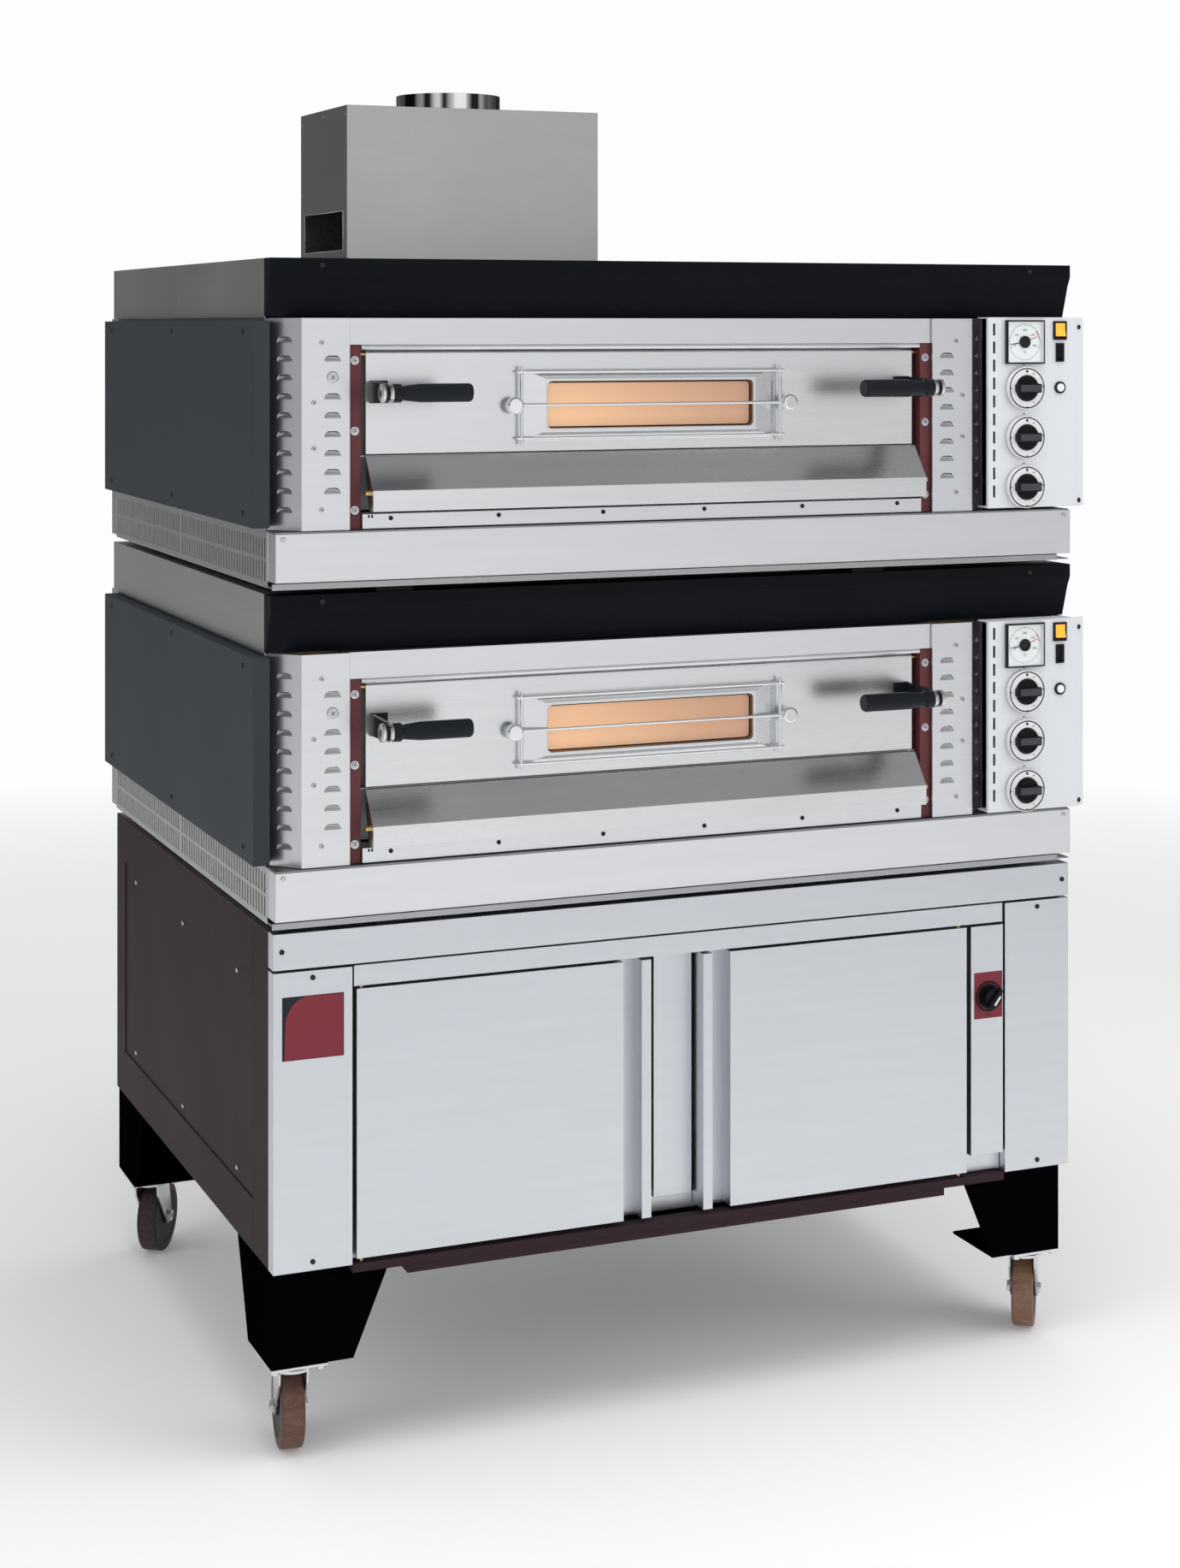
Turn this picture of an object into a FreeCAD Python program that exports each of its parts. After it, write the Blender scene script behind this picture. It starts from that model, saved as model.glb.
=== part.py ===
import FreeCAD, Part
import math
import os

# Double-deck gas pizza oven on a castored prover cabinet, with a draught hood and flue collar.
# While it is modelled, X runs across the front, Y from the front plane to the rear and Z up from
# the floor.  All pieces are moved together at the end, so the origin is under the middle.

vec = FreeCAD.Vector

# overall sizes
cabinet_width = 1370.0
cabinet_depth = 1056.0
cabinet_height = 502.0
leg_clearance = 297.0          # floor to the underside of the cabinet
deck_height = 490.0
deck_depth = 1062.0
deck_gap = 9.0                 # thickness of the rubber pads
rear_cover_depth = 38.0
service_width = 141.0          # valve compartment at the right of each deck
sheet = 2.0
fold = 27.0                    # depth of the folded returns on cabinet panels
seam = 0.6

# cabinet front
pilaster_width = 121.7
fascia_height = 54.0
fascia_gap = 3.0
reveal = 3.5                   # open line around the front panels
top_strip_height = 31.0
door_thickness = 40.0
door_gap_bottom = 8.0
door_gap_top = 3.5
left_door_width = 480.0
right_door_width = 477.0
grip_width = 31.0
grip_depth = 34.0
lip_width = 16.0
door_skin = 1.5
door_pin_radius = 4.0
door_pin_inset = 10.0          # pin axis from the hinge edge
door_pin_depth = 12.0          # pin axis behind the front plane
control_strip_width = 60.2
control_strip_foot = 34.0
bottom_rail_height = 13.0
bottom_rail_depth = 22.0
heater_tray_width = 925.0
heater_tray_depth = 640.0
heater_tray_height = 12.0
heater_radius = 4.0
prover_knob_height = 591.0
prover_knob_radius = 20.0

# cabinet frame and runners
post_size = 30.0
post_wall = 2.0
frame_setback = 50.0
rack_levels = 5
rack_pitch = 68.0
rack_shelf = 18.0

# legs and castors
leg_height = 149.0             # cabinet underside to the castor plate
leg_top_width = 190.0
leg_foot_width = 128.0
leg_setback = 25.0
leg_inset = 3.0
leg_sheet = 3.0
foot_plate = 4.0
castor_plate = 88.0
castor_plate_thick = 4.0
castor_inset_x = 47.0
castor_inset_y = 66.0
castor_trail = 36.0
wheel_radius = 62.5
wheel_width = 36.0
wheel_rim = 46.0
axle_radius = 5.0
kingpin_radius = 6.0
running_gap = 0.05
swivel_gap = 0.5
castor_turn = {"front_left": 8.0, "front_right": 35.0, "rear_left": 33.0, "rear_right": 20.0}

# deck front, heights above the deck's own base
flange_height = 10.0
base_height = 82.0
body_bottom = 85.0
body_top = 401.0
band_bottom = 403.0
band_overhang = 4.0
band_lip = 20.0
band_rake = 24.0
band_return = 36.0
base_forward = 8.0
pilaster_chamfer = 43.5
pilaster_face = 74.5
louvre_width = 25.0
louvre_height = 8.5
louvre_first = 116.0
louvre_pitch = 28.1
louvre_column = 91.0
strip_gap = 0.7
strip_width = 18.3
strip_setback = 8.0
strip_top = 360.0
header_bottom = 361.0
header_setback = 6.0
bead_radius = 4.0
cover_seam = 570.0
grille_pitch = 15.9
grille_slot = 7.0
grille_slot_height = 29.0
side_box_depth = 25.0

# oven door
door_bottom = 196.5
door_top = 352.5
door_setback = 16.0
oven_door_thickness = 38.0
door_foot_flat = 8.0           # level part of the bottom edge, front to rear
door_foot_rise = 3.5           # the rest slopes up to clear the flap as the door lifts
door_side_gap = 10.5
pivot_radius = 3.0
pivot_inset = 6.0              # pivot below the top edge and behind the front face
window_half = 176.0
window_low = 231.0
window_high = 304.0
window_corner = 8.0
window_frame = 37.6
window_frame_rise = 19.0
window_frame_proud = 6.5
pane_thickness = 4.0
guard_half = 221.0
guard_rise = 51.0
guard_radius = 2.5
guard_forward = 10.4
guard_knob_half = 234.0
guard_knob_radius = 13.0
handle_height = 290.0
handle_tip_half = 330.5
handle_end_half = 472.0
handle_reach = 87.0            # grip axis in front of the door face
handle_radius = 14.0

# shelf flap in front of the door
flap_front = 28.0
flap_lip_low = 113.0
flap_lip_high = 144.0
flap_rear = 10.0
flap_top = 193.8
flap_side_gap = 8.3
flap_pin_forward = 14.0
flap_pin_height = 140.0
flap_pin_radius = 4.0

# baking chamber
chamber_front = 56.0
chamber_low = 166.0
chamber_high = 352.0
mouth_low = 200.0
mouth_side = 13.5              # chamber wall outside the door edge's line
stone_thick = 30.0
stone_gap = 3.0
duct_width = 260.0
duct_depth = 52.0
duct_wall = 2.0
burner_radius = 18.0
burner_height = 128.0
manifold_radius = 10.0
inlet_radius = 10.5
inlet_height = 100.0
inlet_reach = 30.0             # gas inlet stub past the rear cover

# control panel
panel_forward = 25.0
panel_bottom = 90.0
panel_top = 403.0
panel_left = 28.0              # from the oven's right-hand edge, to the left
panel_right = 4.0              # from the cabinet's right-hand edge
panel_flange = 24.0
panel_flange_drop = 11.0
panel_hem = 6.0
knob_column = 101.0            # knob axis from the right-hand edge
switch_column = 32.5
knob_heights = (286.5, 205.7, 124.3)
skirt_radius = 35.0
skirt_height = 8.0
skirt_gap = 2.0
knob_radius = 22.0
knob_length = 9.0
knob_bar_rise = 5.0
knob_bar_length = 46.0
knob_bar_width = 15.0
shaft_radius = 3.0
gauge_height = 362.5
gauge_size = 72.0
gauge_rise = 7.0
gauge_can_radius = 28.0
lamp_switch_height = 381.5
lamp_switch_width = 25.0
light_switch_height = 345.0
light_switch_width = 15.0
switch_length = 31.0
rocker_tilt = 8.0
button_height = 286.9
button_radius = 6.7
button_travel = 3.0
vent_slots = 10
vent_pitch = 29.5
vent_first = 117.5

# hood and flue
hood_width = 491.0
hood_depth = 295.0
hood_height = 298.5
hood_shift = -6.0              # hood centre from the oven's centre line
hood_wall = 1.5
hood_port_depth = 242.0
hood_port_height = 70.0
hood_port_low = 37.0
collar_radius = 98.0
collar_wall = 2.0
collar_height = 33.0
collar_grip = 20.0             # collar below the hood's top

# places that follow from the sizes above
cabinet_bottom = leg_clearance
cabinet_top = cabinet_bottom + cabinet_height
castor_top = leg_clearance - leg_height
oven_width = cabinet_width - service_width
oven_mid = oven_width / 2
mouth_left = pilaster_chamfer + pilaster_face
mouth_right = oven_width - mouth_left
strip_edge = mouth_left + strip_gap + strip_width
oven_door_left = strip_edge + door_side_gap
oven_door_right = oven_width - oven_door_left
pivot_y = door_setback + pivot_inset
pivot_z = door_top - pivot_inset
deck_levels = {"lower": cabinet_top + deck_gap}
deck_levels["upper"] = deck_levels["lower"] + deck_height + deck_gap
deck_top = deck_levels["upper"] + deck_height
knob_x = cabinet_width - knob_column
switch_x = cabinet_width - switch_column
hood_mid = oven_mid + hood_shift
rear_face = deck_depth + rear_cover_depth
inlet_end = rear_face + inlet_reach
chamber_depth = deck_depth - 4.0 - duct_depth - chamber_front - 2 * sheet - 2.0
hood_front = rear_face - 1.0 - hood_depth
handle_front = door_setback - handle_reach - handle_radius
fascia_bottom = cabinet_top - fascia_height
strip_high = fascia_bottom - fascia_gap
strip_low = strip_high - top_strip_height
cabinet_door_low = cabinet_bottom + door_gap_bottom
cabinet_door_high = strip_low - door_gap_top
left_door_edge = pilaster_width + 2 * reveal
control_left = cabinet_width - pilaster_width - 2 * reveal + 2.6 - control_strip_width
right_door_edge = control_left - 2.4 * reveal
prover_knob_x = control_left + 0.55 * control_strip_width

pieces = {}


def add(node, *shapes):
    pieces.setdefault(node, []).extend(shapes)


def block(x, y, z):
    return Part.makeBox(x[1] - x[0], y[1] - y[0], z[1] - z[0], vec(x[0], y[0], z[0]))


def rod(start, direction, radius, length):
    return Part.makeCylinder(radius, length, vec(*start), vec(*direction))


def ring(start, direction, outer, inner, length):
    return rod(start, direction, outer, length).cut(rod(start, direction, inner, length))


def prism(corners, travel):
    wire = Part.makePolygon([vec(*corner) for corner in corners] + [vec(*corners[0])])
    return Part.Face(wire).extrude(vec(*travel))


def along_x(corners, x):
    return prism([(x[0], y, z) for y, z in corners], (x[1] - x[0], 0, 0))


def along_y(corners, y):
    return prism([(x, y[0], z) for x, z in corners], (0, y[1] - y[0], 0))


def along_z(corners, z):
    return prism([(x, y, z[0]) for x, y in corners], (0, 0, z[1] - z[0]))


def join(first, *others):
    return first.fuse(list(others)).removeSplitter()


def tray(x, y, z, open_side="+y", wall=sheet):
    # a folded tray: one face and its returns, open on one side
    inner = {name: [low + wall, high - wall] for name, (low, high) in (("x", x), ("y", y), ("z", z))}
    axis = open_side[1]
    outer = {"x": x, "y": y, "z": z}
    end = 1 if open_side[0] == "+" else 0
    inner[axis][end] = outer[axis][end]
    return block(x, y, z).cut(block(inner["x"], inner["y"], inner["z"]))


def offset_path(path, thickness):
    # the path moved to its left by the thickness, with mitred corners
    moved = []
    for index, point in enumerate(path):
        before = path[max(index - 1, 0)]
        after = path[min(index + 1, len(path) - 1)]
        normals = []
        for start, end in ((before, point), (point, after)):
            length = math.hypot(end[0] - start[0], end[1] - start[1])
            if length > 0:
                normals.append(((start[1] - end[1]) / length, (end[0] - start[0]) / length))
        sum_x = sum(normal[0] for normal in normals)
        sum_y = sum(normal[1] for normal in normals)
        scale = thickness * len(normals) / (sum_x ** 2 + sum_y ** 2)
        moved.append((point[0] + sum_x * scale, point[1] + sum_y * scale))
    return moved


def folded(path, thickness=sheet):
    # outline of a bent sheet that follows the path
    return list(path) + offset_path(path, thickness)[::-1]


def pierced(normal, x, y, z, holes):
    # a flat plate with rectangular holes, given as (low, high, low, high) across the plate
    spans = {"x": x, "y": y, "z": z}
    across = [axis for axis in "xyz" if axis != normal]

    def loop(u0, u1, v0, v1):
        corners = []
        for u, v in ((u0, v0), (u1, v0), (u1, v1), (u0, v1), (u0, v0)):
            place = {normal: spans[normal][0], across[0]: u, across[1]: v}
            corners.append(vec(place["x"], place["y"], place["z"]))
        return Part.makePolygon(corners)

    outer = loop(*spans[across[0]], *spans[across[1]])
    face = Part.Face([outer] + [loop(*hole) for hole in holes])
    travel = {"x": 0.0, "y": 0.0, "z": 0.0}
    travel[normal] = spans[normal][1] - spans[normal][0]
    return face.extrude(vec(travel["x"], travel["y"], travel["z"]))


def around(normal, x, y, z, hole):
    # plates that together leave one rectangular hole, (low, high, low, high) across the sheet
    spans = {"x": x, "y": y, "z": z}
    first, second = [axis for axis in "xyz" if axis != normal]
    u0, u1, v0, v1 = hole
    strips = (((u0, u1), (spans[second][0], v0)), ((u0, u1), (v1, spans[second][1])),
              ((spans[first][0], u0), spans[second]), ((u1, spans[first][1]), spans[second]))
    plates = []
    for u, v in strips:
        if u[1] - u[0] > 0.01 and v[1] - v[0] > 0.01:
            place = {normal: spans[normal], first: u, second: v}
            plates.append(block(place["x"], place["y"], place["z"]))
    return plates


def rounded_opening(x, y, z, radius):
    # a cutter along Y with rounded corners
    cutter = block(x, y, z)
    return cutter.makeFillet(radius, [edge for edge in cutter.Edges if edge.BoundBox.YLength > 1.0
                                      and edge.BoundBox.XLength < 0.01 and edge.BoundBox.ZLength < 0.01])


def mirrored(shape, middle):
    return shape.mirror(vec(middle, 0, 0), vec(1, 0, 0))


def screw(place, direction, radius=4.0, rise=2.0):
    # a low domed screw head that stands on a face
    head = rod(place, direction, radius, rise)
    rim = [edge for edge in head.Edges if isinstance(edge.Curve, Part.Circle)]
    top = vec(*place) + vec(*direction) * rise
    rim = [edge for edge in rim if (edge.Curve.Center - top).Length < 0.01]
    return head.makeFillet(0.6 * rise, rim)


def square_bar(x, y, z, axis):
    # a square tube that is open at both ends
    spans = {"x": x, "y": y, "z": z}
    inside = {a: (s[0] + post_wall, s[1] - post_wall) for a, s in spans.items()}
    inside[axis] = spans[axis]
    return block(x, y, z).cut(block(inside["x"], inside["y"], inside["z"]))


def cabinet_frame():
    low, high = cabinet_bottom + sheet, cabinet_top - sheet
    side = 8.0
    front = (frame_setback, frame_setback + post_size)
    rear = (cabinet_depth - side - post_size, cabinet_depth - side)
    left = (side, side + post_size)
    right = (cabinet_width - side - post_size, cabinet_width - side)
    inner_y = (sheet + frame_setback - 8.0, cabinet_depth - sheet)
    add("cabinet_frame", block((sheet, cabinet_width - sheet), inner_y, (cabinet_bottom, low)))
    for x in (left, right):
        for y in (front, rear):
            add("cabinet_frame", square_bar(x, y, (low, high), "z"))
        for z in ((low, low + post_size), (high - post_size, high)):
            add("cabinet_frame", square_bar(x, (front[1], rear[0]), z, "y"))
    for y in (front, rear):
        for z in ((low, low + post_size), (high - post_size, high)):
            add("cabinet_frame", square_bar((left[1], right[0]), y, z, "x"))
    roof = block((sheet, cabinet_width - sheet), (fold, cabinet_depth - sheet), (high, cabinet_top))
    add("cabinet_frame", roof)
    # the wall between the proving space and the thermostat's compartment
    wall_x = right_door_edge + reveal
    wall = block((wall_x, wall_x + sheet), (front[1], rear[0]), (low + post_size, high - post_size))
    add("cabinet_frame", wall)


def cabinet_casing():
    post_end = 108.5
    opening = (post_end + 2.5, cabinet_depth - 65.0, cabinet_bottom + 79.0, cabinet_top - 77.0)
    lap = 15.0
    z = (cabinet_bottom, cabinet_top)
    post = block((0, sheet), (fold, post_end), z)
    side = pierced("x", (0, sheet), (post_end + seam, cabinet_depth), z, [opening])
    inset = block((sheet, sheet + 3.0), (opening[0], opening[1] + lap), (opening[2] - lap, opening[3] + lap))
    for shape in (post, side, inset):
        add("cabinet_casing", shape, mirrored(shape, cabinet_width / 2))
    rail_z = (cabinet_bottom - bottom_rail_height, cabinet_bottom)
    rail_x = (pilaster_width + 1.0, cabinet_width - pilaster_width - 1.0)
    add("cabinet_casing", tray(rail_x, (sheet, sheet + bottom_rail_depth), rail_z, "-z"))
    middle = (left_door_edge + right_door_edge) / 2 + 20.0
    tray_x = (middle - heater_tray_width / 2, middle + heater_tray_width / 2)
    tray_y = (sheet + 1.0, sheet + 1.0 + heater_tray_depth)
    tray_z = (rail_z[0] - heater_tray_height, rail_z[0])
    add("cabinet_casing", tray(tray_x, tray_y, tray_z, "+z"))
    # heating element: a hairpin lying in the tray
    half_loop = 120.0
    element_z = tray_z[0] + sheet + heater_radius
    near, far = tray_y[0] + 60.0, tray_y[1] - 40.0
    legs = [rod((x, near, element_z), (0, 1, 0), heater_radius, far - near)
            for x in (middle - half_loop, middle + half_loop)]
    bar = rod((middle - half_loop, near, element_z), (1, 0, 0), heater_radius, 2 * half_loop)
    corners = [Part.makeSphere(heater_radius, vec(x, near, element_z))
               for x in (middle - half_loop, middle + half_loop)]
    add("prover_heater", join(bar, *legs, *corners))


def cabinet_front():
    width = cabinet_width
    upright_z = (cabinet_bottom, fascia_bottom - reveal)
    left = tray((0, pilaster_width), (0, fold), upright_z)
    fascia = tray((0, width), (0, fold), (fascia_bottom + 0.5, cabinet_top))
    add("cabinet_front_panels", left, mirrored(left, width / 2), fascia)
    between = (pilaster_width + reveal, width - pilaster_width - reveal)
    strip = tray(between, (sheet + 1.0, fold), (strip_low, strip_high))
    post_x = (left_door_edge + left_door_width + 19.0, right_door_edge - right_door_width - 5.0)
    post = tray(post_x, (grip_depth, grip_depth + 10.0), (cabinet_bottom + 26.0, cabinet_door_high))
    sill = tray((between[0], right_door_edge), (door_thickness + 2.0, door_thickness + 7.0),
                (cabinet_bottom + sheet, cabinet_bottom + 26.0))
    control_z = (cabinet_bottom + control_strip_foot, strip_low - reveal)
    control = tray((control_left, control_left + control_strip_width), (0, fold), control_z)
    control = control.cut(rod((prover_knob_x, -1.0, prover_knob_height), (0, 1, 0), shaft_radius + 1.0, 5.0))
    foot = tray((control_left - reveal, control_left + control_strip_width + reveal), (18.0, fold),
                (cabinet_bottom + sheet, control_z[0] - sheet))
    add("cabinet_front_panels", strip, post, sill, control, foot)


def cabinet_doors():
    z = (cabinet_door_low, cabinet_door_high)
    doors = (("prover_door_left", left_door_edge, left_door_width, False),
             ("prover_door_right", right_door_edge, right_door_width, True))
    for node, edge, width, flipped in doors:
        # modelled with its hinge at x = 0 and its grip at the far end
        groove = width - lip_width - grip_width
        shell = [(0, 0), (groove, 0), (groove, grip_depth), (width - lip_width, grip_depth),
                 (width - lip_width, 0), (width, 0), (width, door_thickness), (0, door_thickness)]
        skin = along_z(shell, z)
        hollow = block((door_skin, groove - door_skin), (door_skin, door_thickness),
                       (z[0] + door_skin, z[1] - door_skin))
        skin = skin.cut(hollow)
        liner = block((2 * door_skin, groove - 2 * door_skin), (door_thickness - 3.0, door_thickness - 1.0),
                      (z[0] + 2 * door_skin, z[1] - 2 * door_skin))
        bush = 2 * door_pin_inset - 2 * door_skin
        for low in (z[0] + door_skin, z[1] - door_skin - 22.0):
            corner = (door_skin, door_skin + bush)
            skin = skin.fuse(block(corner, corner, (low, low + 22.0)))
        for low in (z[0] - 1.0, z[1] - 18.0):
            hole = rod((door_pin_inset, door_pin_depth, low), (0, 0, 1), door_pin_radius + running_gap, 19.0)
            skin = skin.cut(hole)
        for shape in (skin.removeSplitter(), liner):
            if flipped:
                shape = mirrored(shape, 0)
            add(node, shape.translated(vec(edge, 0, 0)))
        pin_x = edge - door_pin_inset if flipped else edge + door_pin_inset
        pins = ((cabinet_bottom, z[0] - cabinet_bottom + 16.0), (z[1] - 16.0, strip_low - z[1] + 16.0))
        for low, length in pins:
            add("hinge_pins", rod((pin_x, door_pin_depth, low), (0, 0, 1), door_pin_radius, length))


def prover_knob():
    centre = (prover_knob_x, -1.0, prover_knob_height)
    face = (centre[0], centre[1] - 16.0, centre[2])
    skirt = rod(centre, (0, -1, 0), prover_knob_radius, 4.0)
    body = rod(centre, (0, -1, 0), 0.75 * prover_knob_radius, 16.0)
    bar = block((centre[0] - 3.0, centre[0] + 3.0), (face[1] - 6.0, face[1] + 1.0),
                (centre[2] - 0.95 * prover_knob_radius, centre[2] + 0.95 * prover_knob_radius))
    bar.rotate(vec(*centre), vec(0, 1, 0), 40.0)
    shaft = rod(centre, (0, 1, 0), shaft_radius, 20.0)
    add("prover_knob", join(skirt, body, bar, shaft))
    case = block((centre[0] - 18.0, centre[0] + 18.0), (sheet + 6.0, sheet + 40.0),
                 (centre[2] - 20.0, centre[2] + 20.0))
    hole = rod((centre[0], 0.0, centre[2]), (0, 1, 0), shaft_radius + running_gap, 30.0)
    add("prover_heater", case.cut(hole))


def tray_racks():
    # angle runners for dough trays, on uprights at both sides of each bay
    middle = (left_door_edge + left_door_width + right_door_edge - right_door_width) / 2
    low = cabinet_bottom + 45.0
    top = low + (rack_levels - 1) * rack_pitch + 40.0
    depth = (frame_setback + post_size + 20.0, cabinet_depth - 60.0)
    walls = ((pilaster_width + 4.0, 1), (middle - 16.0, -1), (middle + 16.0, 1), (right_door_edge - 6.0, -1))
    for x, toward in walls:
        def span(start, end):
            return tuple(sorted((x + toward * start, x + toward * end)))
        uprights = [block(span(0, 3.0), (y, y + 20.0), (cabinet_bottom + sheet, top))
                    for y in (depth[0], (depth[0] + depth[1]) / 2, depth[1] - 20.0)]
        rails = []
        for level in range(rack_levels):
            z = low + level * rack_pitch
            web = block(span(3.0, 5.0), depth, (z, z + 16.0))
            rails.append(join(web, block(span(5.0, 5.0 + rack_shelf), depth, (z, z + sheet))))
        add("tray_runners", *uprights, *rails)


def legs():
    top, foot = cabinet_bottom, castor_top
    y0 = leg_setback
    front = along_y([(leg_inset, foot), (leg_inset + leg_foot_width, foot),
                     (leg_inset + leg_top_width, top), (leg_inset, top)], (y0, y0 + leg_sheet))
    side = along_x([(y0, foot), (y0 + leg_foot_width, foot), (y0 + leg_top_width, top), (y0, top)],
                   (leg_inset, leg_inset + leg_sheet))
    base = block((leg_inset, leg_inset + leg_foot_width), (y0, y0 + leg_foot_width),
                 (foot, foot + foot_plate))
    side = side.cut(front)
    base = base.cut(front).cut(side)
    rear_shift = cabinet_depth + leg_setback - leg_inset
    for plate in (front, side, base):
        rear = plate.mirror(vec(0, 0, 0), vec(0, 1, 0)).translated(vec(0, rear_shift, 0))
        for shape in (plate, rear):
            add("leg_frames", shape, mirrored(shape, cabinet_width / 2))


def castor(name, turn):
    x = castor_inset_x if name.endswith("left") else cabinet_width - castor_inset_x
    y = castor_inset_y if name.startswith("front") else cabinet_depth - castor_inset_y
    plate_low = castor_top - castor_plate_thick
    crown = (plate_low - 11.0, plate_low - 6.5)
    half = castor_plate / 2
    plate = block((x - half, x + half), (y - half, y + half), (plate_low, castor_top))
    race = ring((x, y, crown[1] + swivel_gap), (0, 0, 1), 29.0, kingpin_radius + running_gap,
                plate_low - crown[1] - swivel_gap)
    socket = rod((x, y, plate_low - 1.0), (0, 0, 1), kingpin_radius + running_gap, castor_plate_thick - 1.0)
    add("castor_plates", join(plate, race).cut(socket))
    # fork and wheel, modelled trailing along +Y and then turned
    cheek = wheel_width / 2 + 1.5
    axle = castor_trail
    disc = rod((0, 0, crown[0]), (0, 0, 1), 32.0, crown[1] - crown[0])
    roof = block((-cheek - 3.0, cheek + 3.0), (-26.0, 34.0), crown)
    kingpin = rod((0, 0, crown[0]), (0, 0, 1), kingpin_radius, plate_low + 1.0 - crown[0])
    shape = [(-24.0, crown[1]), (34.0, crown[1]), (axle + 14.0, wheel_radius - 4.0),
             (axle + 6.0, wheel_radius - 13.0), (axle - 8.0, wheel_radius - 12.0), (-20.0, crown[1] - 24.0)]
    plates = [along_x(shape, (-cheek - 3.0, -cheek)), along_x(shape, (cheek, cheek + 3.0))]
    bolt = rod((-cheek - 9.0, axle, wheel_radius), (1, 0, 0), axle_radius, 2 * cheek + 18.0)
    nuts = [rod((side, axle, wheel_radius), (1, 0, 0), 8.5, 5.0) for side in (-cheek - 8.0, cheek + 3.0)]
    fork = join(disc, roof, kingpin, *plates, bolt, *nuts)
    near = -wheel_width / 2
    tyre = ring((near, axle, wheel_radius), (1, 0, 0), wheel_radius, wheel_rim, wheel_width)
    tyre = tyre.makeFillet(5.0, [e for e in tyre.Edges if abs(e.BoundBox.ZLength - 2 * wheel_radius) < 0.5
                                 and e.BoundBox.XLength < 0.5])
    hub = ring((near + 3.0, axle, wheel_radius), (1, 0, 0), wheel_rim, wheel_rim - 7.0, wheel_width - 6.0)
    web = ring((near + 13.0, axle, wheel_radius), (1, 0, 0), wheel_rim - 6.0, 12.0, wheel_width - 26.0)
    boss = ring((near - 0.5, axle, wheel_radius), (1, 0, 0), 15.0, axle_radius + running_gap,
                wheel_width + 1.0)
    wheel = [tyre, join(hub, web, boss)]
    for node, shapes in (("castor_fork_" + name, [fork]), ("castor_wheel_" + name, wheel)):
        for shape in shapes:
            shape.rotate(vec(0, 0, 0), vec(0, 0, 1), -turn)
            add(node, shape.translated(vec(x, y, 0)))


def rear_covers():
    width = (sheet, cabinet_width - sheet)
    add("rear_covers", block(width, (cabinet_depth - sheet, cabinet_depth), (cabinet_bottom, cabinet_top)))
    for base in deck_levels.values():
        z = (base + 4.0, base + body_top)
        cover = tray((0, cabinet_width), (deck_depth, rear_face), z, "-y")
        hole = rod((knob_x, deck_depth, base + inlet_height), (0, 1, 0), inlet_radius + 2.0,
                   2 * rear_cover_depth)
        add("rear_covers", cover.cut(hole))


def deck_chassis(base):
    width = cabinet_width
    duct_x = (oven_mid - duct_width / 2, oven_mid + duct_width / 2)
    duct_y = (deck_depth - 4.0 - duct_depth, deck_depth - 4.0)
    gap = 1.0
    hole = (duct_x[0] - gap, duct_x[1] + gap, duct_y[0] - gap, duct_y[1] + gap)
    inner = (sheet, width - sheet)
    front = -base_forward + 2 * sheet
    for low in (base, base + base_height):
        add("deck_chassis", *around("z", inner, (front, deck_depth - sheet), (low, low + sheet), hole))
    walls_z = (base + base_height + sheet, base + body_top)
    wall = block((0, sheet), (pilaster_chamfer + 1.5, deck_depth), walls_z)
    partition = block((oven_width, oven_width + sheet), (pilaster_chamfer + 1.5, deck_depth - sheet), walls_z)
    passage = rod((oven_width - 5.0, chamber_front + 34.0, base + burner_height), (1, 0, 0),
                  manifold_radius + 2.0, 12.0)
    back = block(inner, (deck_depth - sheet, deck_depth), (base, base + body_top))
    outlet = rod((knob_x, deck_depth - 10.0, base + inlet_height), (0, 1, 0), inlet_radius + 2.0, 20.0)
    lip_x = (-band_overhang, width - strip_edge / 5)
    lip = tray(lip_x, (-base_forward - sheet, -base_forward + sheet), (base, base + flange_height - 1.0))
    add("deck_chassis", wall, mirrored(wall, width / 2), partition.cut(passage), back.cut(outlet), lip)


def base_fascia(base):
    z = (base + flange_height, base + base_height)
    add("base_fascias", tray((1.4, cabinet_width - 1.4), (-base_forward, -base_forward + 43.0), z, "+y"))


def deck_covers(base):
    # grey sheets: slotted base sides, plain top sides and the roof
    width = cabinet_width
    grille_z = (base, base + base_height + sheet)
    starts = -base_forward + 43.0
    rows = ((9.5, 9.5 + grille_slot_height), (44.5, 44.5 + grille_slot_height))
    halves = ((starts, cover_seam - seam / 2), (cover_seam + seam / 2, deck_depth))
    for y in halves:
        count = int((y[1] - y[0] - 10.0) / grille_pitch)
        first = (y[0] + y[1]) / 2 - (count - 1) / 2 * grille_pitch
        holes = [(first + i * grille_pitch - grille_slot / 2, first + i * grille_pitch + grille_slot / 2,
                  base + low, base + high) for i in range(count) for low, high in rows]
        grille = pierced("x", (0, sheet), y, grille_z, holes)
        add("deck_covers", grille, mirrored(grille, width / 2))
    side_x = (-band_overhang, -band_overhang + sheet)
    for y in ((band_return, cover_seam - seam / 2), (cover_seam + seam / 2, deck_depth + 4.0)):
        side = block(side_x, y, (base + body_top, base + deck_height))
        add("deck_covers", side, mirrored(side, width / 2))
    duct_y = (deck_depth - 4.0 - duct_depth, deck_depth - 4.0)
    half = duct_width / 2 + 1.0
    hole = (oven_mid - half, oven_mid + half, duct_y[0] - 1.0, duct_y[1] + 1.0)
    roof = around("z", (side_x[1], width - side_x[1]), (band_return, deck_depth + 4.0),
                  (base + deck_height - sheet, base + deck_height), hole)
    back = block((side_x[1], width - side_x[1]), (deck_depth + 2.0, deck_depth + 4.0),
                 (base + body_top + 1.0, base + deck_height - sheet))
    add("deck_covers", back, *roof)


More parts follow.
